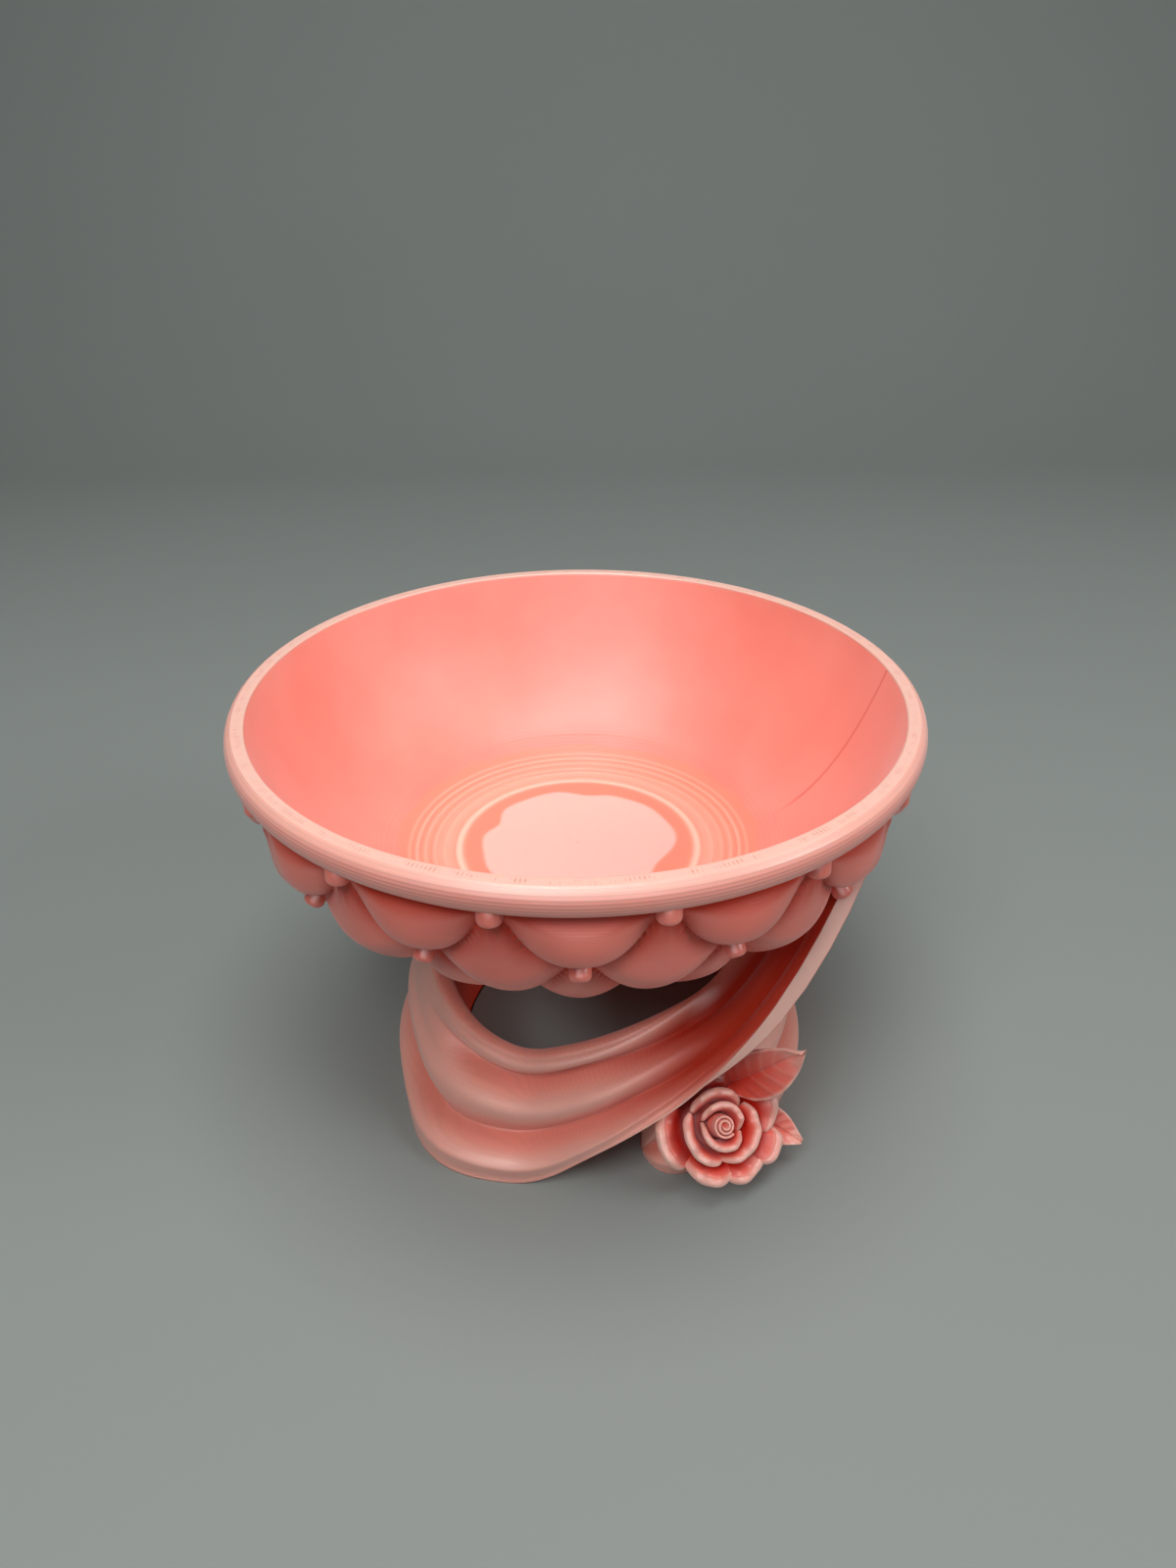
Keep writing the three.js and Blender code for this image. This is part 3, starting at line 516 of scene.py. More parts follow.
def bowl_liner():
    """Turned round the axis: the floor disc, the terraces, the smooth wall, and the outside. The
    marks are rings and waves: pale rings of a few radii, which are painted highlights on the
    print's layer edges, a stepped zone inside a wavy border, a glossy middle whose border has three
    bays and whose paler colour is a painted reflection, and the seam, which fades out at the floor."""
    edges, steps = terraces()
    wall_top = RIM_HEIGHT - 0.36
    inner = offset_wall(0.0)[::-1]
    inner = inner[(inner[:, 1] > steps[-1, 1] + 0.1) & (inner[:, 1] < RIM_HEIGHT - 0.4)][::3]
    top = offset_wall(0.0)
    inner = np.vstack([inner, top[top[:, 1] < wall_top][:1]])
    lip = offset_wall(0.9)
    lip = lip[(lip[:, 1] < wall_top) & (lip[:, 1] > LINER_TOP)][::4]
    outer = offset_wall(WALL)
    outer = outer[outer[:, 1] < LINER_TOP][::6]
    floor = np.column_stack([np.linspace(0.8, edges[0] - 0.4, 70), np.full(70, FLOOR_HEIGHT)])
    under = np.column_stack([np.linspace(outer[-1, 0], 0.8, 12)[1:],
                             np.full(11, FLOOR_HEIGHT - WALL)])
    profile = np.vstack([floor, steps, inner, lip, outer, under])
    by_seam = SEAM_ANGLE + np.linspace(-1, 1, 11)
    angles = np.unique(np.concatenate([np.arange(0, 360, 1.5), by_seam]))
    grid = swing(profile[:, None, 0], profile[:, None, 1], angles[None, :])
    r = profile[:, None, 0] + 0 * angles
    inside = np.arange(len(profile))[:, None] < len(profile) - len(outer) - len(under)
    az = (angles[None, :] + 180) % 360 - 180 + 0 * r
    # Pale rings at the layer edges: painted highlights, at these radii, widths and strengths.
    rings = ((38.1, 1.2, 1.0), (42.5, 0.85, 0.8), (45.9, 0.7, 0.65),
             (48.7, 0.6, 0.55), (51.3, 0.5, 0.45), (53.6, 0.5, 0.3))
    print_highlight = np.clip(sum(bump(r, middle, wide) * strong for middle, wide, strong in rings), 0, 1)
    wavy = (STEPPED_RADIUS + 0.35 * np.sin(np.radians(az * 9))
            + 0.3 * np.sin(np.radians(az * 17 + 40)))
    zone = smooth(-r, -wavy - 0.8, -wavy + 0.8)
    ring = (0.35 * zone + 0.65 * print_highlight) * inside
    edge = (GLOSS_RADIUS + 0.5 * np.sin(np.radians(3 * az + 60))
            + 0.25 * np.sin(np.radians(11 * az)))
    edge = edge - 2.6 * bump(az, 82, 12) - 2.8 * bump(az, 157, 10) - 4.0 * bump(az, -26, 16)
    gloss = smooth(edge - r, -0.6, 1.0) * inside
    height = profile[:, None, 1] + 0 * angles
    seam = bump(np.radians(az - SEAM_ANGLE) * r, 0, SEAM_WIDTH)
    seam = seam * smooth(height, 84, 92) * inside * 0.8
    marks = np.stack([ring, gloss, seam], -1).reshape(-1, 3)
    piece = put("bowl_wall", skin(grid), slot="bowl_silk", nodes=("bowl_liner",), marks=marks)
    piece.data.materials.append(silk_plastic(
        "silk PLA, printed bowl inside", "#FF9A8A", "#FB8E7E", 0.47, marked=True))


def rim_bead():
    """Turned round the axis: a flat crest, terraces of the top layers, a round nose and a heel.
    A terrace's radius is that of the bead's ellipse at the middle of its layer."""
    middle = (RIM_RADIUS - BEAD_WIDTH / 2, RIM_HEIGHT - BEAD_HEIGHT / 2)
    steps = []
    for k in range(5):
        top = RIM_HEIGHT - LAYER * k
        rise = (BEAD_HEIGHT / 2 - LAYER * (k + 0.6)) / (BEAD_HEIGHT / 2)
        r = middle[0] + BEAD_WIDTH / 2 * np.sqrt(1 - rise ** 2)
        steps += [(r - 0.1, top), (r, top - 0.08), (r + 0.02, top - LAYER)]
    angle = np.radians(np.linspace(48, -80, 40))
    nose = np.column_stack([middle[0] + BEAD_WIDTH / 2 * np.cos(angle),
                            middle[1] + BEAD_HEIGHT / 2 * np.sin(angle)])
    heel = offset_wall(WALL + CLEARANCE)
    ledge = LINER_TOP + CLEARANCE
    heel = heel[(heel[:, 1] < ledge) & (heel[:, 1] > BEAD_FLOOR + 0.1)][::-1][::3]
    inner = offset_wall(1.0)
    inner = inner[(inner[:, 1] > ledge) & (inner[:, 1] < RIM_HEIGHT - 0.5)][::-1][::3]
    edge = [(MOUTH_RADIUS - 0.14, RIM_HEIGHT - 0.5), (MOUTH_RADIUS - 0.13, RIM_HEIGHT - 0.46)]
    inner = np.vstack([inner, edge])
    crest = np.column_stack([np.linspace(MOUTH_RADIUS + 0.25, steps[0][0] - 0.2, 10),
                             np.full(10, RIM_HEIGHT)])
    last = [(MOUTH_RADIUS + 0.03, RIM_HEIGHT - 0.1)]
    profile = np.vstack([crest, steps, nose, heel, inner, last])
    angles = np.arange(0, 360, 0.75)
    grid = swing(profile[None, :, 0], profile[None, :, 1], angles[:, None])
    width = steps[0][0]
    r, z = profile.T
    crest_mark = smooth(-r, -width - 0.4, -width + 0.1) * (z > RIM_HEIGHT - 0.15)
    marks = np.zeros((len(angles), len(profile), 3))
    # Red is the crest, and at 0.55 the top 3 mm of the nose, made paler as a painted highlight of
    # the light from above.
    marks[..., 0] = np.maximum(crest_mark, 0.55 * smooth(z, RIM_HEIGHT - 3.2, RIM_HEIGHT - 0.6))
    marks[..., 1] = crest_mark * bump(r, MOUTH_RADIUS + 1.8, 0.8)
    piece = put("rolled_rim", skin(grid, ring=True), slot="bowl_silk", nodes=("rim_bead",),
                marks=marks.reshape(-1, 3))
    piece.data.materials.append(silk_plastic(
        "silk PLA, printed rim", "#FCA496", "#F79989", 0.34, line=1.0, tone=0.95,
        hatched=True))


# Tufted jacket

def jacket_swell(t):
    """The outer swell: a curve from under the rim, over a shoulder and a haunch, to the seat."""
    return bezier([
        (RIM_RADIUS - JACKET_INSET, JACKET_TOP),
        (RIM_RADIUS + SHOULDER_REACH, JACKET_TOP - SHOULDER_DROP),
        (RIM_RADIUS - HAUNCH_INSET, JACKET_TOP - HAUNCH_DROP),
        (SEAT_RADIUS, SEAT_HEIGHT),
    ], t)


SWELL_T = np.linspace(0, 1, 801)
SWELL = jacket_swell(SWELL_T)
SWELL_WAY = np.concatenate([[0], np.cumsum(np.linalg.norm(np.diff(SWELL, axis=0), axis=1))])
LINER_BACK = offset_wall(WALL + CLEARANCE)
SWELL_FOOT = LINER_BACK[((SWELL[:, None, :] - LINER_BACK[None]) ** 2).sum(-1).argmin(axis=1)]


def way_at_height(height):
    """The way down the swell at which it passes a height."""
    return float(np.interp(-height, -SWELL[:, 1], SWELL_WAY))


UPPER_WAY = way_at_height(RIM_HEIGHT - UPPER_BUTTON_DROP)
LOWER_WAY = way_at_height(RIM_HEIGHT - LOWER_BUTTON_DROP)
TUFT_ANGLE = 360 / TUFT_COUNT


def at_way(way):
    """The full point and the hollow point of the jacket at a way down its swell."""
    full = np.stack([np.interp(way, SWELL_WAY, SWELL[:, k]) for k in (0, 1)], -1)
    foot = np.stack([np.interp(way, SWELL_WAY, SWELL_FOOT[:, k]) for k in (0, 1)], -1)
    gap = np.linalg.norm(full - foot, axis=-1, keepdims=True)
    return full, foot + (full - foot) * np.minimum(1, JACKET_SKIN / gap)


def cushion_fill(column, way):
    """Fullness of the cushions, 0 under a button and 1 in the middle. Creases run from button to
    button, where column plus or minus half a row is a half number, and droop between them by a
    share of a row; near a crease the cushion rises as a low power of the distance, so its sides
    are steep and its crown is round. Above the upper buttons a scalloped groove ends it."""
    row = np.where(way < LOWER_WAY, (way - UPPER_WAY) / (LOWER_WAY - UPPER_WAY),
                   1 + (way - LOWER_WAY) / LAST_ROW_LENGTH)
    one, other = (np.cos(np.pi * (column + way_side * row / 2)) ** 2 for way_side in (1, -1))
    row = row - DROOP * (one + other - one * other) * (1 - smooth(row, 0.7, 1.3))
    one, other = (np.sin(np.pi * ((0.5 + row / 2 + column * way_side) % 1) ** LOW_CROWN)
                  for way_side in (1, -1))
    crease = CREASE_FILL * (one + other - one * other)
    plump = PLUMP + LOW_PLUMP * smooth(row, 0.9, 1.7)
    fill = plump * (crease + (1 - CREASE_FILL) * (one * other) ** PUFF)
    between = np.abs(np.cos(np.pi * column))
    top = UPPER_WAY - 2.0 + (GROOVE_DEPTH - 0.4) * between ** 0.6
    groove = smooth(way, top - 1.6, top + 0.9)
    bead = smooth(-between, -0.25, -0.02)
    return fill * (groove + (1 - groove) * bead)


def pleats(column, way):
    """Small gathers that fan out below each upper button, in millimetres: a cosine of the angle
    round the button that dies away with the distance from it."""
    nearest = np.round(column - 0.5) + 0.5
    button_radius = 96
    across = (column - nearest) * np.radians(TUFT_ANGLE) * button_radius
    down = way - UPPER_WAY
    reach = np.hypot(across, down)
    angle = np.arctan2(across, np.maximum(down, 1e-6))
    near = bump(reach, 6.5, 2.6) * (down > 0) * smooth(-np.abs(angle), -0.75, -0.35)
    return PLEAT_DEPTH * np.cos(angle * 15) * near


def quilted_jacket():
    """Each point goes from the hollow skin to the full swell by its fullness. The way down is
    moved on by the sag times the fullness, so that each cushion hangs over the one below."""
    columns = np.arange(TUFT_COUNT * 32) / 32
    ways = np.linspace(0, SWELL_WAY[-1], 165)
    column, way = np.meshgrid(columns, ways, indexing="ij")
    fill = cushion_fill(column, way)
    closing = smooth(way, SWELL_WAY[-1] - 9, SWELL_WAY[-1])
    fill = fill + (1 - fill) * closing
    sag = SAG * fill * smooth(way, 0, 10) * (1 - closing)
    sag = sag * (1 - 0.5 * smooth(way, UPPER_WAY + 8, LOWER_WAY + 8))
    full, hollow = at_way(np.minimum(way + sag, SWELL_WAY[-1]))
    section = hollow + (full - hollow) * fill[..., None]
    outward = full - hollow
    outward = outward / np.maximum(np.linalg.norm(outward, axis=-1, keepdims=True), 0.5)
    section = section + outward * pleats(column, way)[..., None]
    inside = offset_wall(WALL + CLEARANCE)
    inside = inside[(inside[:, 1] < JACKET_TOP - 0.2) & (inside[:, 0] > SEAT_INNER_RADIUS)][::-1]
    inside = inside[np.linspace(0, len(inside) - 1, 9).astype(int)]
    inside = np.vstack([[(SEAT_INNER_RADIUS, SEAT_HEIGHT)], inside])
    back = np.broadcast_to(inside, (len(columns), *inside.shape))
    loops = np.concatenate([section, back], axis=1)
    marks = np.zeros((*loops.shape[:2], 3))
    # Red is painted shade: a deep red in the creases between the cushions and in the groove under
    # the rim, and half of it on the hidden inside.
    crease = smooth(1 - fill, 0.27, 0.86)
    marks[:, :len(ways), 0] = np.maximum(crease, smooth(-way, -4.5, -2.0))
    marks[:, len(ways):, 0] = 0.5
    angles = -90 + TUFT_ANGLE * columns
    grid = swing(loops[..., 0], loops[..., 1], angles[:, None])
    piece = put("tufted_jacket", skin(grid, ring=True), slot="jacket_silk",
                nodes=("quilted_jacket",), marks=marks.reshape(-1, 3))
    piece.data.materials.append(silk_plastic(
        "silk PLA, printed tufting", "#EB7867", "#E36D5C", 0.38))


def button(name, column, way, out, tilt, size, material):
    """A thimble with a round end, turned round its own axis, which points out and down at a tilt
    from straight down. Its middle stands out from the hollow skin by a distance. Its size is its
    radius and its length."""
    radius, length = size
    full, hollow = at_way(np.array(way))
    away = (full - hollow) / np.linalg.norm(full - hollow)
    turn = np.radians(np.linspace(0, 90, 9))
    round_end = np.column_stack([radius - PEG_ROUND + PEG_ROUND * np.cos(turn),
                                 length / 2 - PEG_ROUND + PEG_ROUND * np.sin(turn)])
    profile = np.vstack([
        [(0.3, -length / 2), (radius - 0.2, -length / 2), (radius, 0.2 - length / 2)],
        round_end,
        [(0.3, length / 2 + 0.06)],
    ])
    around = np.radians(np.arange(0, 360, 15))
    angle = np.radians(-90 + TUFT_ANGLE * column)
    radial = np.array([np.cos(angle), np.sin(angle), 0])
    up = np.array([0, 0, 1])
    axis = radial * np.sin(np.radians(tilt)) - up * np.cos(np.radians(tilt))
    side = np.array([-np.sin(angle), np.cos(angle), 0])
    middle = radial * (hollow[0] + out * away[0]) + up * (hollow[1] + out * away[1])
    ring = side * np.cos(around)[:, None] + np.cross(axis, side) * np.sin(around)[:, None]
    grid = middle + profile[:, None, 0, None] * ring[None] + profile[:, None, 1, None] * axis
    piece = put(name + "_peg", skin(grid), slot="jacket_silk", nodes=(name,))
    piece.data.materials.append(material)


def buttons():
    """A peg at every crossing of two creases, in two rows."""
    material = silk_plastic("silk PLA, printed button", "#F27F6E", "#EB7363", 0.36)
    for k in range(TUFT_COUNT):
        button(f"button_upper_{k + 1}", k + 0.5, UPPER_WAY - 0.1, 0.4, 6, UPPER_PEG, material)
        button(f"button_lower_{k + 1}", k, LOWER_WAY + 2.2, 3.0, 40, LOWER_PEG, material)


# Stand

def lower_edge(angle):
    """Radius and height of a ribbon's lower edge at an angle round the stand."""
    r = FOOT_RADIUS + 9 * bump(angle, 229, 20) + 17 * past(angle, 256, 62)
    return r, 1.05 * ramp(angle, 253, 7) + 45 * past(angle, 284, 34)


def lip_edge(angle):
    """Radius and height of a ribbon's lip at an angle round the stand."""
    z = LIP_HEIGHT + 14 * bump(angle, 180, 28) + 0.42 * ramp(angle, 245, 7)
    return LIP_RADIUS + 0 * angle, z + 8 * past(angle, 300, 26)


def ribbon_sections(angles):
    """Closed sections in radius and height. The outside runs from the lower edge to the lip, with
    folds that are the size of a cosine: round ridges, and two sharp valleys that wander along the
    ribbon. Its rising end is dished and has a hem and a cut corner. The lip is rolled over in a
    half circle, the inside goes back down plain, further from the outside towards the foot, and
    a flat edge closes the section."""
    share = np.linspace(0, 1, 90)[None, :]
    a = angles[:, None]
    low = np.stack(np.broadcast_arrays(*lower_edge(a)), -1)
    lip = np.stack(np.broadcast_arrays(*lip_edge(a)), -1)
    up = lip - low
    up = up / np.linalg.norm(up, axis=-1, keepdims=True)
    out = np.stack([up[..., 1], -up[..., 0]], -1)
    foot = FOOT_WIDTH + (BAND_THICKNESS - FOOT_WIDTH) * smooth(a, 240, 290)
    low_valley = 0.26 + 0.1 * smooth(a, 206, 240) - 0.06 * smooth(a, 250, 272)
    high_valley = 0.81 - 0.06 * smooth(a, 262, 286)
    phase = np.where(share < low_valley, 0.5 * (share / low_valley - 0.35) / 0.65,
                     0.5 + (share - low_valley) / (high_valley - low_valley))
    phase = np.where(share < high_valley, phase,
                     1.5 + 0.5 * (share - high_valley) / (0.95 - high_valley))
    wave = 2.2 * np.sqrt(np.cos(np.pi * phase) ** 2 + 0.006) - 1.6
    faint = smooth(share, 0.55, 0.7) * (1 - smooth(a, 203, 232))
    wave = wave + (0.3 - wave) * faint
    calm = 1 - 0.75 * smooth(a, 270, 300)
    fold = FOLD_DEPTH * wave * np.minimum(1, share / FOLD_FIRST) * calm
    dish = smooth(a, 264, 300) * smooth(share, 0.01, 0.1) * smooth(1 - share, 0.0, 0.2)
    hem = smooth(a, 262, 292) * bump(share, 0.0, 0.02)
    cut = smooth(a, 272, 296) * bump(share, 0.0, 0.1)
    side = fold - DISH_DEPTH * dish + HEM_HEIGHT * hem - CUT_DEPTH * cut
    outer = low + (lip - low) * share[..., None] + out * side[..., None]
    end = side[:, -1:]
    roll = np.radians(np.linspace(0, 180, 14)[1:-1])[None, :]
    half = (LIP_THICKNESS + end) / 2
    rolled = lip + up * (half * np.sin(roll) * 0.6)[..., None]
    rolled = rolled + out * (end - half + half * np.cos(roll))[..., None]
    back = np.linspace(1, 0, 20)[None, :]
    depth = foot + (LIP_THICKNESS - foot) * back
    inner = low + (lip - low) * back[..., None] - out * depth[..., None]
    under = np.linspace(0.95, 0.05, 7)[None, :]
    edge = low - out * (foot - (foot + side[:, :1]) * (1 - under))[..., None]
    loops = np.concatenate([outer, rolled, inner, edge], axis=1)
    loops[..., 1] = np.maximum(loops[..., 1], 0)
    marks = np.zeros((*loops.shape[:2], 3))
    # Marks: red is painted shade, a deep red in the fold valleys, over the dished rising end that
    # lies in the bowl's shade, and over the whole inside; green is a painted highlight, paler on
    # the ridges away from the rising end, on the hem and on the cut edge.
    painted_valley_shade = smooth(-wave, -0.1, 1.0) * np.minimum(1, share / FOLD_FIRST) * (0.35 + 0.65 * calm)
    marks[:, :share.size, 0] = np.clip(0.25 * painted_valley_shade + 0.95 * dish, 0, 1) * (1 - hem)
    painted_ridge_highlight = 0.1 + 0.35 * smooth(wave, -0.4, 0.5)
    marks[:, :share.size, 1] = np.clip(hem + painted_ridge_highlight * (1 - smooth(a, 258, 296)), 0, 1)
    marks[:, share.size + roll.size:, 0] = 1.0
    marks[:, -under.size:, 0] = 0
    marks[:, -under.size:, 1] = 0.9 * smooth(a, 262, 292)
    return loops, marks


def ribbon(name, rear, material):
    """The sections swung round the stand's axis. They shrink to the foot at the start, and at the
    other end to a point inside the cushions, as a quarter circle closes. No point rises above the
    underside of the bowl."""
    near = np.linspace(0, 1, 14)[1:] ** 2
    start = RIBBON_START + START_ROUND * near
    end = RIBBON_END - END_ROUND * near[::-1]
    angles = np.concatenate([start, np.arange(start[-1] + 0.8, end[0] - 0.4, 0.8), end])
    loops, marks = ribbon_sections(angles)
    started = np.minimum(1, (angles - RIBBON_START) / START_ROUND)
    ending = np.minimum(1, (RIBBON_END - angles) / END_ROUND)
    size = np.sqrt(1 - (1 - np.minimum(started, ending)) ** 2)[:, None, None]
    foot = np.array([FOOT_RADIUS - FOOT_WIDTH / 2, 0])
    head = np.array([SEAT_RADIUS + 14, SEAT_HEIGHT + 16])
    centre = np.where((started < ending)[:, None, None], foot, head)
    loops = centre + (loops - centre) * size
    grid = swing(loops[..., 0], loops[..., 1], angles[:, None])
    if rear:
        grid = grid * [-1, -1, 1]
    grid = grid + [STAND_OFFSET, 0, 0]
    under_liner = offset_wall(WALL)[::-1]
    reach = np.hypot(grid[..., 0], grid[..., 1])
    roof = np.interp(reach, under_liner[:, 0], under_liner[:, 1]) - 0.6
    grid[..., 2] = np.minimum(grid[..., 2], roof)
    node_name = "ribbon_rear" if rear else "ribbon_front"
    piece = put(name, skin(grid), slot="stand_silk", nodes=(node_name,),
                marks=marks.reshape(-1, 3))
    piece.data.materials.append(material)


def ribbons():
    """The front ribbon, and the rear one, which is the same turned half round."""
    material = silk_plastic("silk PLA, printed ribbon", "#F8A291", "#F29684", 0.44)
    ribbon("front_ribbon", False, material)
    ribbon("rear_ribbon", True, material)


# Rose: its own frame has +Z the way it looks, +X to its right and +Y up its face

def rose_axes():
    """The flower's own axes as rows: level to its right, up its face, and the way it looks."""
    turn, tilt = np.radians([ROSE_TURN, ROSE_TILT])
    facing = np.array([np.cos(tilt) * np.cos(turn), np.cos(tilt) * np.sin(turn), np.sin(tilt)])
    side = np.array([-np.sin(turn), np.cos(turn), 0])
    return np.stack([side, np.cross(facing, side), facing])


ROSE_AXES = rose_axes()

# Petals: middle angle and half width in degrees, radius at root and lip, height at root and lip,
# and the radius of the lip's curl
PETALS = {
    "heart_1": (60, 92, 4.3, 5.5, 2.5, 12.6, 0.5),
    "heart_2": (245, 88, 4.6, 5.9, 2.5, 12.2, 0.5),
    "inner_1": (84, 58, 7.0, 9.0, 2.0, 10.6, 0.8),
    "inner_2": (202, 58, 7.2, 10.2, 2.0, 10.0, 0.8),
    "inner_3": (322, 62, 7.2, 10.4, 2.0, 10.0, 0.8),
    "outer_1": (20, 42, 10.2, 17.2, 1.0, 8.2, 1.2),
    "outer_2": (86, 38, 10.2, 13.2, 1.0, 7.0, 1.2),
    "outer_3": (180, 38, 10.2, 16.4, 1.0, 5.6, 1.2),
    "outer_4": (245, 30, 10.2, 14.8, 0.5, 6.6, 1.2),
    "outer_5": (293, 26, 10.2, 16.4, 0.5, 4.8, 1.2),
    "outer_6": (325, 20, 10.6, 18.6, 0.5, 5.6, 1.2),
}


def petal(middle, half, root, lip, low, high, curl):
    """A bent shell. Up the petal it leaves the root steeply and opens to the lip, which is rolled
    outwards and down in a small arc; across it the lip comes down and in as a power of the
    distance from the middle, so that the corners are round. Its seven values are those of the
    table above."""
    across = np.linspace(-1, 1, 41)[:, None]
    up = np.linspace(0, 1, 26)[None, :]
    corner = np.abs(across) ** 3
    top = high - (high - low) * 0.42 * corner
    reach = root + (lip - root) * (1 - 0.30 * corner) + 0.35 * across
    r = root + (reach - root) * up ** 1.7
    h = low + (top - low) * (1 - (1 - up) ** 1.35)
    roll = np.radians(np.linspace(35, 215, 11)[1:])[None, :]
    turned = curl * (1 - 0.5 * corner)
    lip_r = reach + turned * (np.cos(np.radians(35)) - np.cos(roll)) * 0.9
    lip_h = top + turned * (np.sin(roll) - np.sin(np.radians(35)))
    line = np.stack([np.concatenate([r + 0 * h, lip_r], 1), np.concatenate([h, lip_h], 1)], -1)
    along = np.gradient(line, axis=1)
    along /= np.linalg.norm(along, axis=-1, keepdims=True)
    square = np.stack([along[..., 1], -along[..., 0]], -1)
    thick = PETAL_THICKNESS / 2 * (1 - 0.55 * np.abs(across) ** 6)
    taper = np.sqrt(np.maximum(0, 1 - np.linspace(0, 1, line.shape[1])[None, :] ** 14))
    thick = thick * np.maximum(taper, 0.25)
    half_wall = square * thick[..., None]
    loop = np.concatenate([line + half_wall, (line - half_wall)[:, ::-1]], 1)
    angle = middle + half * across
    ripple = curl * (0.5 * np.sin(np.radians(angle * 7 + middle))
                     + 0.4 * np.sin(np.radians(angle * 13)))
    loop[..., 1] += ripple * smooth(loop[..., 0], root, lip)
    way = np.linspace(0, 1, line.shape[1])
    way = np.concatenate([way, way[::-1]])[None, :] + 0 * across
    marks = np.zeros((*loop.shape[:2], 3))
    # Red is painted shade low on each petal, in the gaps between petals; green a painted highlight
    # on the lip.
    marks[..., 0] = 1 - smooth(way, 0.42, 0.82)
    marks[..., 1] = 0.85 * smooth(way, 0.64, 0.88)
    return swing(loop[..., 0], loop[..., 1], angle), marks.reshape(-1, 3)


def to_world(grid):
    """From the flower's own frame to the bowl's."""
    return ROSE_CENTRE + grid @ ROSE_AXES


def bud():
    """A rolled strip: a wall whose radius grows steadily over a little more than two turns, lower
    as it goes out, and a plain cone inside that closes the view down into it."""
    turn = np.linspace(0, BUD_TURNS, 150)[:, None]
    rho = 0.75 + 1.12 * turn
    top = 13.4 - 0.45 * turn
    foot = 3 + 0 * turn
    edge = np.radians(np.linspace(0, 180, 9))
    r = np.concatenate([rho + BUD_WALL, rho + BUD_WALL * np.cos(edge), rho - BUD_WALL], 1)
    h = np.concatenate([foot, top + 0.4 * np.sin(edge), foot], 1)
    strip = swing(r, h, turn * 360 + 200)
    marks = np.zeros((*r.shape, 3))
    # Red is painted shade on the low part of the strip, green a painted highlight on the rest.
    marks[..., 0] = h < 4
    marks[..., 1] = 0.6 * (h > 4)
    cone = np.array([(0.3, 11.6), (2.0, 11.2), (3.4, 9.5), (4.0, 2.4), (0.3, 2.0)])
    around = np.arange(0, 360, 10)
    middle = swing(cone[:, None, 0], cone[:, None, 1], around[None, :])
    return (strip, middle), marks.reshape(-1, 3)


def calyx():
    """A bowl of solid plastic behind the petals, turned round the flower's axis."""
    profile = np.array([(0.4, 3.2), (5, 3.4), (8, 2.8), (10.5, 1.2), (12, -1.5), (11.4, -4.5),
                        (9.2, -7.6), (6, -10.2), (0.4, -11)])
    around = np.arange(0, 360, 6)
    return swing(profile[:, None, 0], profile[:, None, 1], around[None, :])


# Leaves: stem and tip from the flower's centre, bow of the rib, width, and the way the blade faces
LEAVES = {
    "leaf_upper": ((5.5, 4.9, 12), (25, -3, 34), 1.6, 16.0, (1, -8, 6)),
    "leaf_lower": ((11, 5, 0.5), (27.6, 1.6, -9.8), 1.2, 11.0, (5, -8, 4)),
}


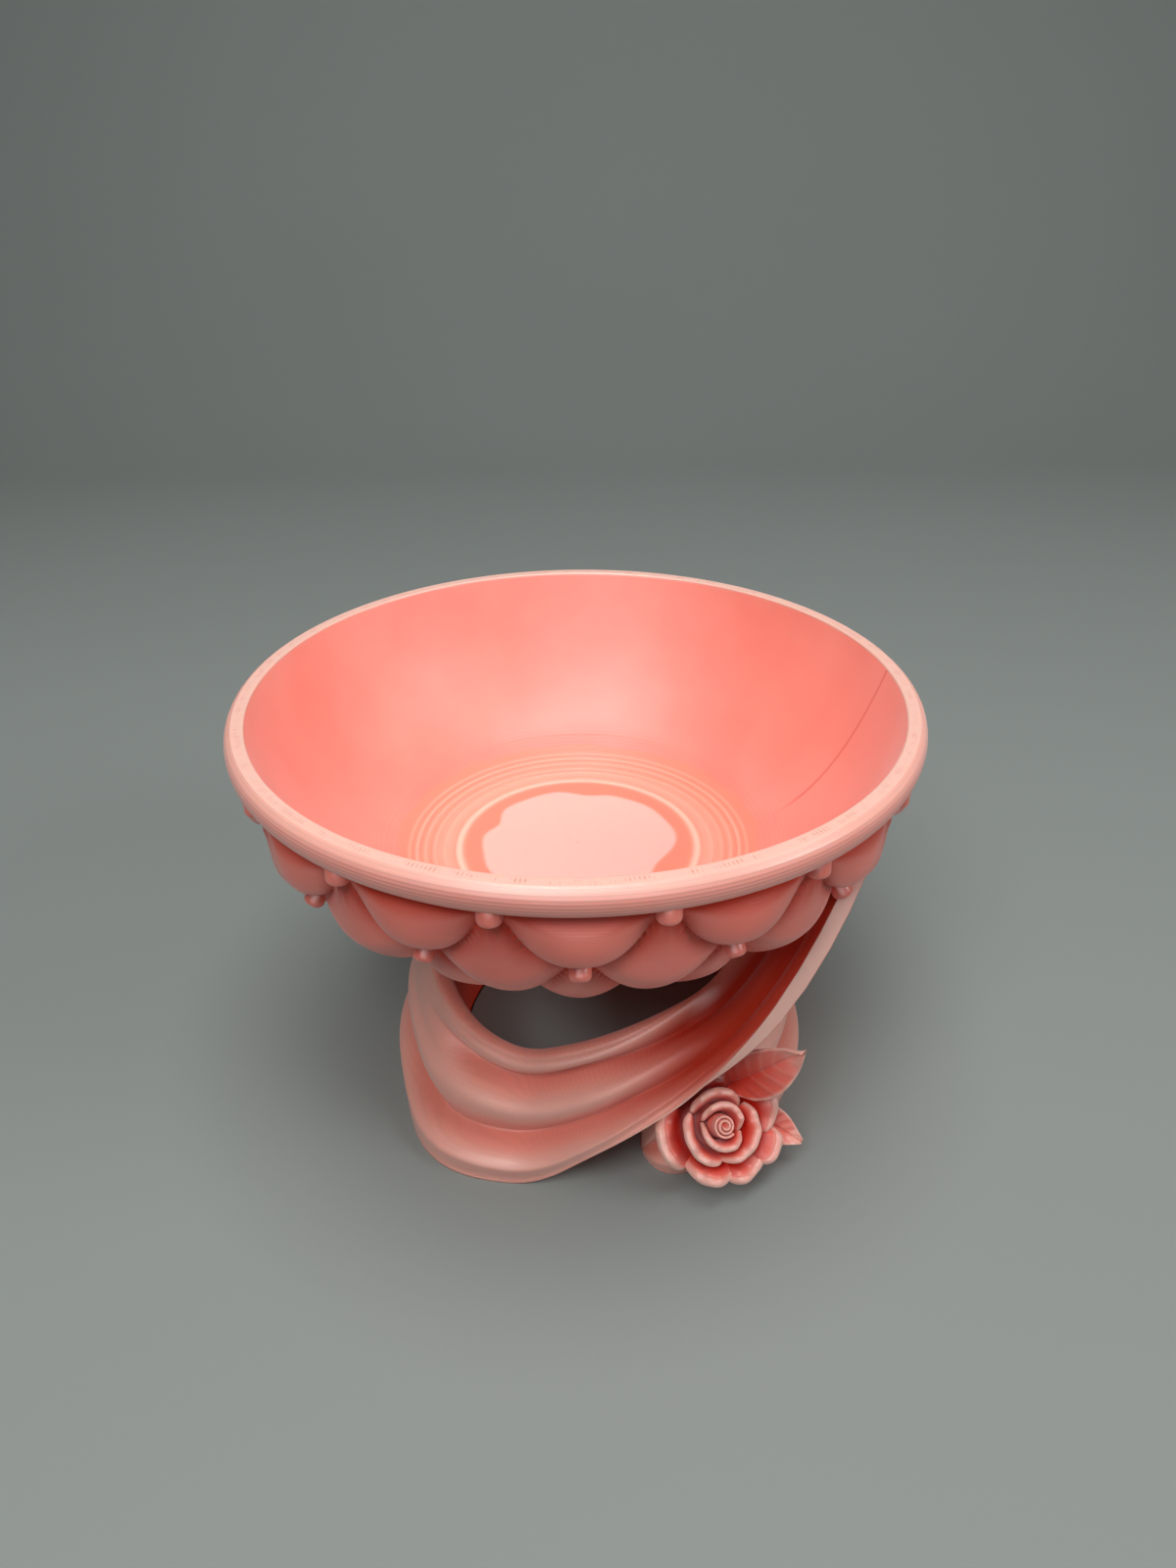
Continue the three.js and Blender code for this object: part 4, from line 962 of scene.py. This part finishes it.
def leaf(stem, tip, bow, width, face):
    """A thin shell along a bowed rib. Its half width is a power of a sine of the way along, its
    halves rise from the rib, and side veins are a cosine of the way along less the way across."""
    start = ROSE_CENTRE + stem
    along = np.array(tip, float) - np.array(stem, float)
    normal = np.array(face, float)
    normal -= along * (normal @ along) / (along @ along)
    normal /= np.linalg.norm(normal)
    side = np.cross(along / np.linalg.norm(along), normal)
    at = np.linspace(0, 1, 60)[:, None]
    x = np.linspace(-1, 1, 41)[None, :]
    half = width / 2 * (0.06 + 0.94 * np.maximum(0, np.sin(np.pi * at ** 0.8)) ** 0.8)
    veins = np.cos(2 * np.pi * (at * 6.5 - np.abs(x) * 1.3))
    rise = bow * np.sin(np.pi * at) + np.abs(x) ** 1.4 * width * 0.13
    rise = rise + 0.11 * veins * np.sqrt(np.abs(x))
    rise = rise - 0.5 * np.exp(-(x / 0.09) ** 2) + 1.6 * smooth(at, 0.8, 1.0)
    thick = 0.75 * np.sqrt(np.maximum(0.02, 1 - x ** 8)) + 0 * at
    rib = start + at[..., None] * along
    spread = rib + (x * half)[..., None] * side
    top = spread + (rise + thick)[..., None] * normal
    low = spread + (rise - thick)[..., None] * normal
    marks = np.zeros((*top.shape[:2], 3))
    # Red is painted shade, a deep red towards the stem where the ribbons shade the blade; green is
    # a painted highlight on the veins, the rim and the tip.
    marks[..., 0] = 0.9 * (1 - smooth(at, 0.2, 1.0)) * (1 - 0.4 * np.abs(x))
    vein_highlight = 0.14 * smooth(veins, 0.3, 1) * smooth(at, 0.1, 0.5)
    rim_highlight = smooth(np.abs(x), 0.8, 1) + smooth(at, 0.7, 1)
    marks[..., 1] = np.clip(vein_highlight + rim_highlight, 0, 0.75)
    loops = np.concatenate([top, low[:, ::-1]], axis=1)
    return loops, np.concatenate([marks, marks], axis=1).reshape(-1, 3)


def rose():
    """Petals, bud, calyx and leaves, in three tones of one plastic. The calyx's deep red is painted
    shade, as it lies behind the petals, and the crease colours of petals and leaves are painted
    shade too.
    """
    material = silk_plastic("silk PLA, printed rose", "#FA8474", "#F47866", 0.36, line=0.5,
                            crease_shade="#CE1F0C")
    for name, shape in PETALS.items():
        shell, marks = petal(*shape)
        piece = put("petal_" + name, skin(to_world(shell)), slot="rose_silk",
                    nodes=("rose_petal_" + name,), marks=marks)
        piece.data.materials.append(material)
    shells, marks = bud()
    piece = put("bud_spiral", *(skin(to_world(part)) for part in shells), slot="rose_silk",
                nodes=("rose_bud",), marks=marks)
    piece.data.materials.append(material)
    # The calyx's deep red is painted shade: it lies behind the petals.
    deep = silk_plastic("silk PLA, rose heart in painted shade", "#C02A16", "#B92512", 0.4, line=0.5)
    piece = put("calyx", skin(to_world(calyx())), slot="rose_silk", nodes=("rose_calyx",))
    piece.data.materials.append(deep)
    blade_material = silk_plastic("silk PLA, printed leaf", "#F88473", "#F17867", 0.38, line=0.5,
                                  crease_shade="#D42A14")
    for name, shape in LEAVES.items():
        blade, marks = leaf(*shape)
        piece = put(name + "_veined", skin(blade), slot="rose_silk", nodes=(name,), marks=marks)
        piece.data.materials.append(blade_material)


add_camera()
add_stage()
add_light()
bowl_liner()
rim_bead()
quilted_jacket()
buttons()
ribbons()
rose()

bpy.context.scene.view_settings.view_transform = "Standard"


def plain_list(value):
    """Boxes and vectors as plain nested lists."""
    return [plain_list(v) for v in value] if hasattr(value, "__len__") else float(value)


{"cad": plain_list(cad_box), "visual": plain_list(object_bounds())}
